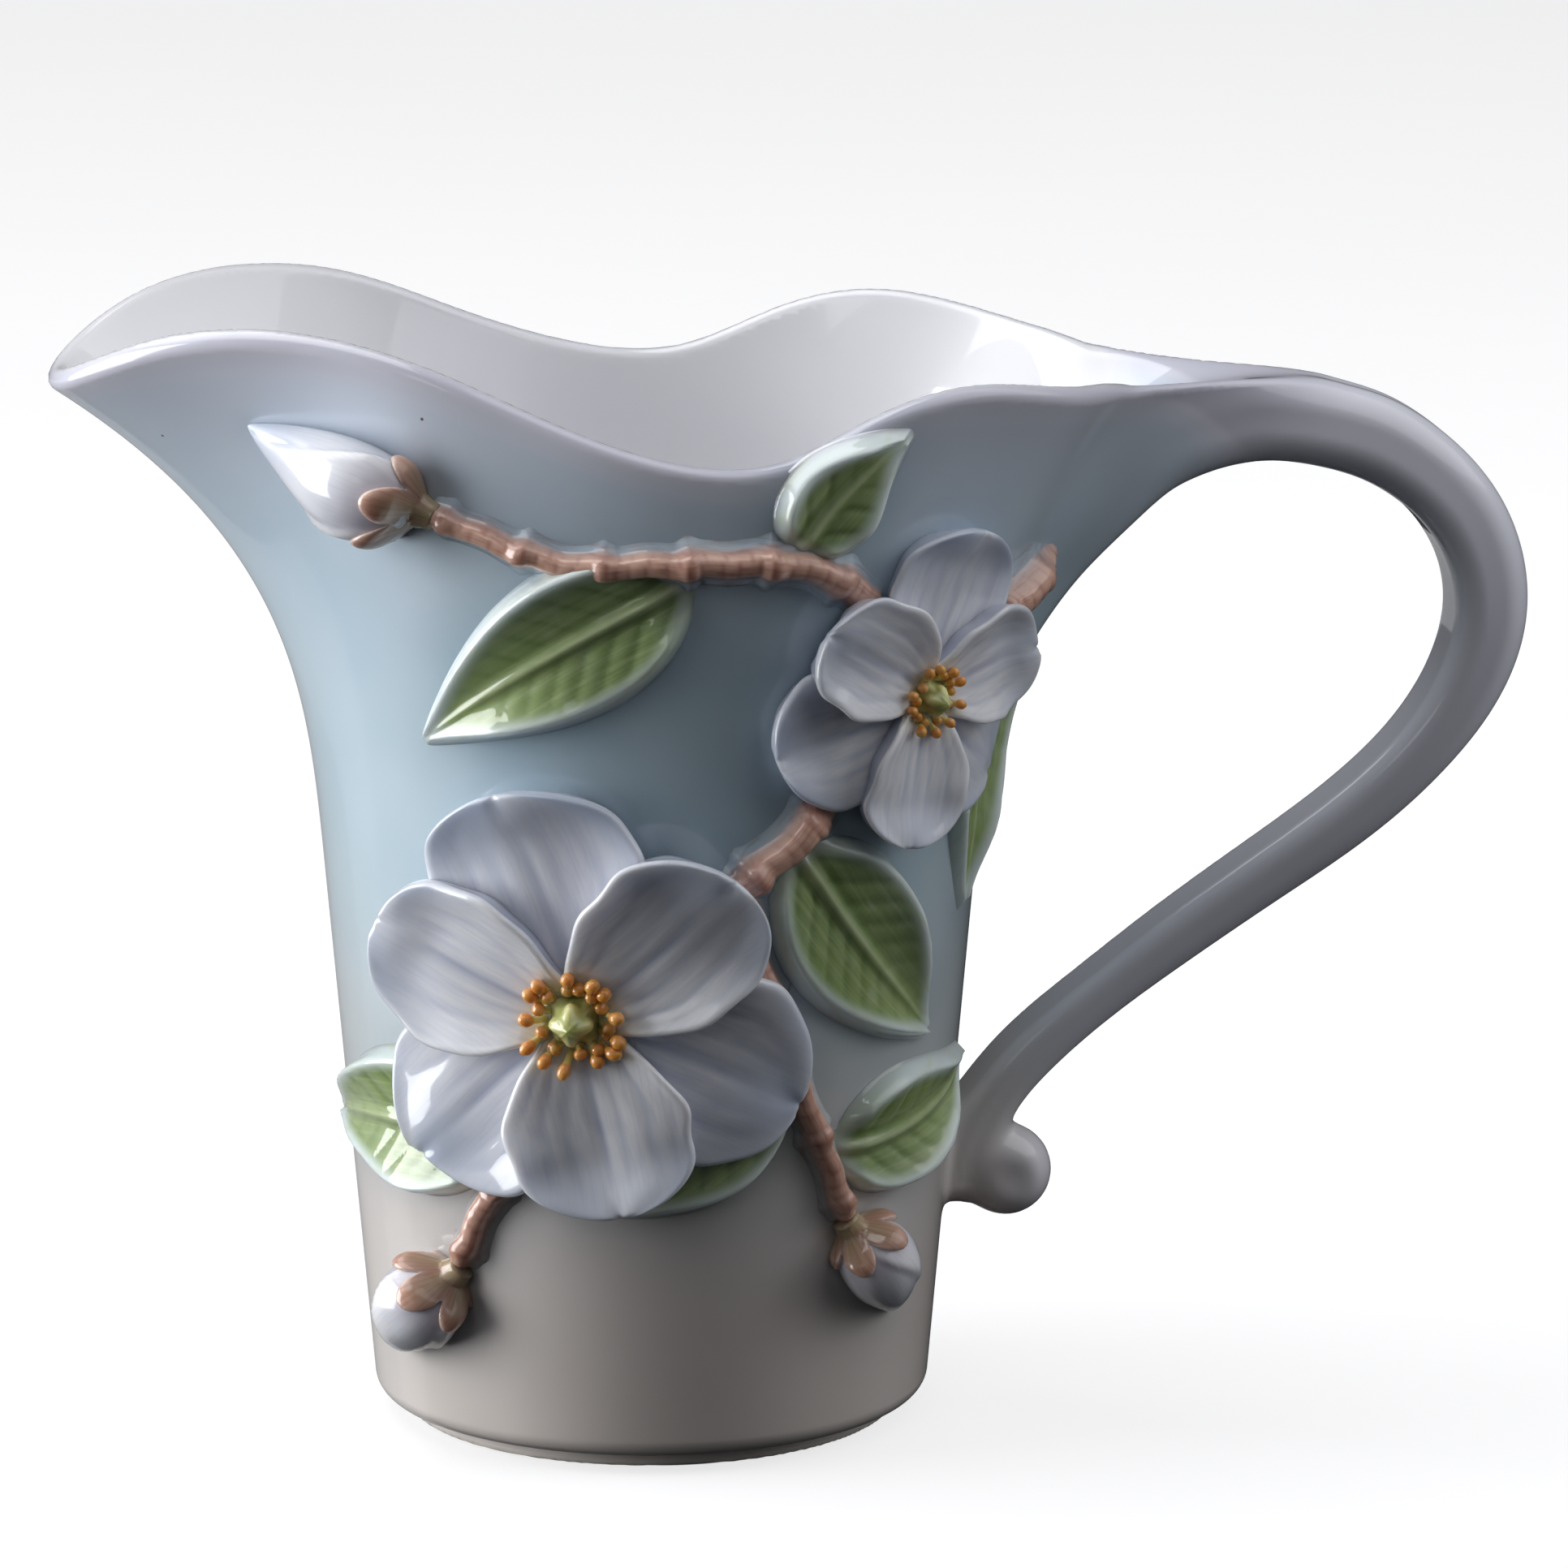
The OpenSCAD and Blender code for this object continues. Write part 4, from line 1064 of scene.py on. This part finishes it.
def shell_glaze(name):
    t = Nodes(name)
    co = t.coords()
    z = t.add("ShaderNodeSeparateXYZ", None, Vector=co).outputs[2]
    cloud = t.noise(co, 22.0, 1.0, 0.4)
    drift = t.math("MULTIPLY", t.math("SUBTRACT", cloud, 0.5), 0.012)
    zz = t.math("ADD", z, drift)
    ramp = t.add("ShaderNodeValToRGB", None, Fac=t.span(zz, 0.0, 0.125, kind="LINEAR"))
    cr = ramp.color_ramp
    cr.interpolation = "B_SPLINE"
    stops = SPRAY
    while len(cr.elements) < len(stops):
        cr.elements.new(0.5)
    for e, (p, c) in zip(cr.elements, stops):
        e.position = p
        e.color = (*rgb(*c), 1)
    rimd = t.math("ADD", t.attr("rimd"), t.math("MULTIPLY", t.math("SUBTRACT", cloud, 0.5), 1.6))
    lip = t.span(rimd, 5.0, 0.5)
    col = t.mix(lip, ramp.outputs[0], LIP_COL)
    # painted shade round the sprigs, partly a sprayed deeper blue: the wall colour is multiplied darker and bluer near
    # them
    shade_halo = t.math("MULTIPLY", t.attr("shade_halo"), t.span(t.noise(co, 60.0, 2.0), 0.3, 0.7, 0.35, 0.75))
    col = t.mix(t.math("MULTIPLY", shade_halo, 0.75), col, (0.56, 0.64, 0.68), "MULTIPLY")
    col = t.mix(t.attr("hand"), col, rgb(214, 215, 226))
    veil = t.noise(co, 75.0, 1.0, 0.4)
    col = t.mix(t.span(veil, 0.3, 0.7, 0.0, 0.07), col, rgb(238, 240, 242))
    white = t.mix(t.span(cloud, 0.3, 0.7, 0.0, 0.5), rgb(240, 240, 243), rgb(233, 234, 240))
    col = t.mix(t.attr("inner"), col, white)
    # painted shade: a darker band along the very edge of the rim, away from the handle, toning down the bright band of
    # light there
    thin_glaze_and_rim_shade = t.math("MULTIPLY", t.span(t.attr("rimd"), 1.3, 0.2), t.math("SUBTRACT", 1.0, t.attr("hand")))
    col = t.mix(thin_glaze_and_rim_shade, col, (0.84, 0.84, 0.86), "MULTIPLY")
    # sparse kiln specks
    vor = t.add("ShaderNodeTexVoronoi", {"voronoi_dimensions": "3D", "feature": "F1"}, Vector=co, Scale=120.0, Randomness=1.0)
    near = t.span(vor.outputs["Distance"], 0.032, 0.018)
    pickr = t.add("ShaderNodeSeparateColor", None, Color=vor.outputs["Color"]).outputs[0]
    spot = t.math("MULTIPLY", near, t.math("GREATER_THAN", pickr, 0.60))
    col = t.mix(spot, col, rgb(96, 88, 84))
    col = t.mix(t.attr("bare"), col, rgb(224, 217, 206))
    peel = t.math("ADD", t.noise(co, 120.0, 2.0, 0.5), t.math("MULTIPLY", t.noise(co, 900.0, 2.0, 0.5), 0.05))
    rough = t.math("ADD", t.span(t.noise(co, 50.0, 3.0), 0.3, 0.7, 0.29, 0.37), t.math("MULTIPLY", t.attr("bare"), 0.45))
    return finish_glaze(t, col, rough, peel, 0.0003, 0.05, sss=0.0)


def sprig_glaze(name, streak=0.35, streak_col=(0.5, 0.5, 0.5), long=0.05, across=0.85, fleck_col=(238, 240, 242), fleck=0.10, blend="MIX"):
    """Hand-painted under the glaze: the painted tint, broken by brush streaks and light flecks."""
    t = Nodes(name)
    co = t.coords()
    tint = t.attr("tint", "Color")
    st = t.add("ShaderNodeCombineXYZ", None, X=t.math("MULTIPLY", t.attr("su"), long), Y=t.math("MULTIPLY", t.attr("sv"), across)).outputs[0]
    brush = t.noise(st, 1.6, 4.0, 0.62)
    col = t.mix(t.span(brush, 0.42, 0.72, 0.0, streak), tint, streak_col)
    light = t.noise(co, 300.0, 4.0, 0.6)
    col = t.mix(t.span(light, 0.45, 0.8, 0.0, fleck), col, rgb(*fleck_col))
    pool = t.noise(co, 70.0, 2.0, 0.5)
    col = t.mix(t.span(pool, 0.3, 0.7, 0.0, 0.16), col, t.mix(1.0, tint, (0.72, 0.76, 0.82), "MULTIPLY"))
    peel = t.math("ADD", t.noise(co, 160.0, 2.0, 0.5), t.math("MULTIPLY", brush, 0.35))
    rough = t.span(t.noise(co, 60.0, 3.0), 0.3, 0.7, 0.29, 0.40)
    return finish_glaze(t, col, rough, peel, 0.0004, 0.10)


for ob, nm in zip(glazed, ("body_glaze", "handle_glaze")):
    ob.data.materials.append(shell_glaze(nm + "_look"))
looks = {
    "petal": sprig_glaze("petal_glaze_look", 0.30, rgb(186, 194, 214), 0.10, 1.3),
    "leaf": sprig_glaze("leaf_glaze_look", 0.38, rgb(196, 206, 160), 0.04, 0.75, fleck=0.10),
    "twig": sprig_glaze("twig_glaze_look", 0.55, rgb(150, 98, 84), 0.12, 1.1, fleck_col=(236, 214, 202), fleck=0.16),
    "cone": sprig_glaze("cone_glaze_look", 0.45, rgb(150, 160, 92), 0.4, 0.8),
    "stamen": sprig_glaze("stamen_glaze_look", 0.40, rgb(236, 196, 110), 0.4, 0.8)}
for kind, obs in sprigs.items():
    for ob in obs:
        ob.data.materials.append(looks[kind])

# ---------------------------------------------------------------------------
# Floor, light, camera
# ---------------------------------------------------------------------------
scene = bpy.context.scene


def pale_floor():
    me = bpy.data.meshes.new("floor")
    n = 24
    xs, ys = np.linspace(-4, 4, n), np.linspace(-3.5, 6, n)
    verts = [(x, y, -0.0001) for y in ys for x in xs]
    faces = [(j * n + i, j * n + i + 1, (j + 1) * n + i + 1, (j + 1) * n + i) for j in range(n - 1) for i in range(n - 1)]
    me.from_pydata(verts, [], faces)
    ob = bpy.data.objects.new("floor", me)
    scene.collection.objects.link(ob)
    t = Nodes("floor_paper")
    co = t.coords()
    col = t.mix(t.span(t.noise(co, 3.0, 3.0), 0.3, 0.7, 0.0, 1.0), rgb(156, 156, 158), rgb(152, 152, 155))
    p = t.add("ShaderNodeBsdfPrincipled", None, Roughness=0.75)
    t.nt.links.new(col, p.inputs["Base Color"])
    p.inputs["Specular IOR Level"].default_value = 0.2
    p.inputs["Emission Color"].default_value = (1.0, 1.0, 1.0, 1)
    p.inputs["Emission Strength"].default_value = 0.74
    t.nt.links.new(p.outputs[0], t.add("ShaderNodeOutputMaterial").inputs[0])
    me.materials.append(t.mat)
    ob.visible_diffuse = False
    ob.visible_glossy = False


pale_floor()


def soft_light(name, pos, look, size, power, colour=(1, 1, 1), size_y=None):
    li = bpy.data.lights.new(name, "AREA")
    li.shape = "RECTANGLE"
    li.size, li.size_y = size, size_y or size
    li.energy = power
    li.color = colour
    ob = bpy.data.objects.new(name, li)
    ob.location = pos
    ob.rotation_euler = (Vector(look) - Vector(pos)).to_track_quat("-Z", "Y").to_euler()
    scene.collection.objects.link(ob)
    return ob


soft_light("key_left", (-0.95, 0.10, 0.18), (0, 0, 0.06), 0.75, 13.6, (0.98, 0.99, 1.0), 0.85)
soft_light("top_back", (-0.40, 0.16, 0.98), (0, 0, 0.06), 1.0, 7.6, (0.98, 0.99, 1.0), 1.0)
soft_light("window_left", (-0.62, -1.0, 0.55), (0, 0, 0.06), 0.22, 0.4, (0.97, 0.99, 1.0), 0.40)
soft_light("top_right", (0.48, -0.16, 0.66), (0.05, 0, 0.08), 0.85, 2.2, (0.98, 0.98, 1.0))
fill = soft_light("fill_right", (1.15, -0.08, 0.50), (0, 0, 0.07), 0.50, 3.5, (0.97, 0.98, 1.0), 0.60)
fill.visible_glossy = False
bounce = soft_light("bounce_left", (-0.52, -0.10, 0.012), (0, 0, 0.09), 0.35, 0.55, (0.99, 0.99, 1.0), 0.30)
bounce.visible_glossy = False
low = soft_light("low_right", (0.85, -0.12, 0.03), (0.04, 0, 0.09), 0.40, 0.60, (0.97, 0.99, 1.0), 0.30)
low.visible_glossy = False
# a pale card behind on the left, for gloss only: the left edge of the glaze mirrors it
card = soft_light("card_left", (-0.54, 1.14, -0.46), (0.02, 0, 0.06), 1.8, 1.75, (0.97, 0.98, 1.0), 0.85)
card.visible_diffuse = card.visible_camera = card.visible_transmission = False
world = bpy.data.worlds.new("studio")
scene.world = world
world.use_nodes = True
wt = world.node_tree
bg = wt.nodes["Background"]
bg.inputs[0].default_value = (0.94, 0.96, 1.0, 1)
updown = wt.nodes.new("ShaderNodeSeparateXYZ")
wt.links.new(wt.nodes.new("ShaderNodeTexCoord").outputs["Generated"], updown.inputs[0])
sky = wt.nodes.new("ShaderNodeMapRange")
sky.interpolation_type = "SMOOTHSTEP"
for key, val in (("From Min", -0.25), ("From Max", 0.35), ("To Min", 0.015), ("To Max", 0.11)):
    sky.inputs[key].default_value = val
wt.links.new(updown.outputs[2], sky.inputs["Value"])
wt.links.new(sky.outputs[0], bg.inputs[1])

cam = bpy.data.cameras.new("camera")
cam.sensor_fit = "AUTO"
cam.sensor_width = 36.0
cam.lens = 218.9
cam.clip_end = 50
co = bpy.data.objects.new("camera", cam)
right, fwd = Vector((0.98816, -0.15344, 0)), Vector((0.14973, 0.96427, -0.21855)).normalized()
up = right.cross(fwd).normalized()
co.matrix_world = Matrix(((right.x, up.x, -fwd.x, -0.13917), (right.y, up.y, -fwd.y, -0.99027), (right.z, up.z, -fwd.z, 0.29242), (0, 0, 0, 1)))
scene.collection.objects.link(co)
scene.camera = co
scene.view_settings.view_transform = "Standard"

bpy.context.view_layer.update()
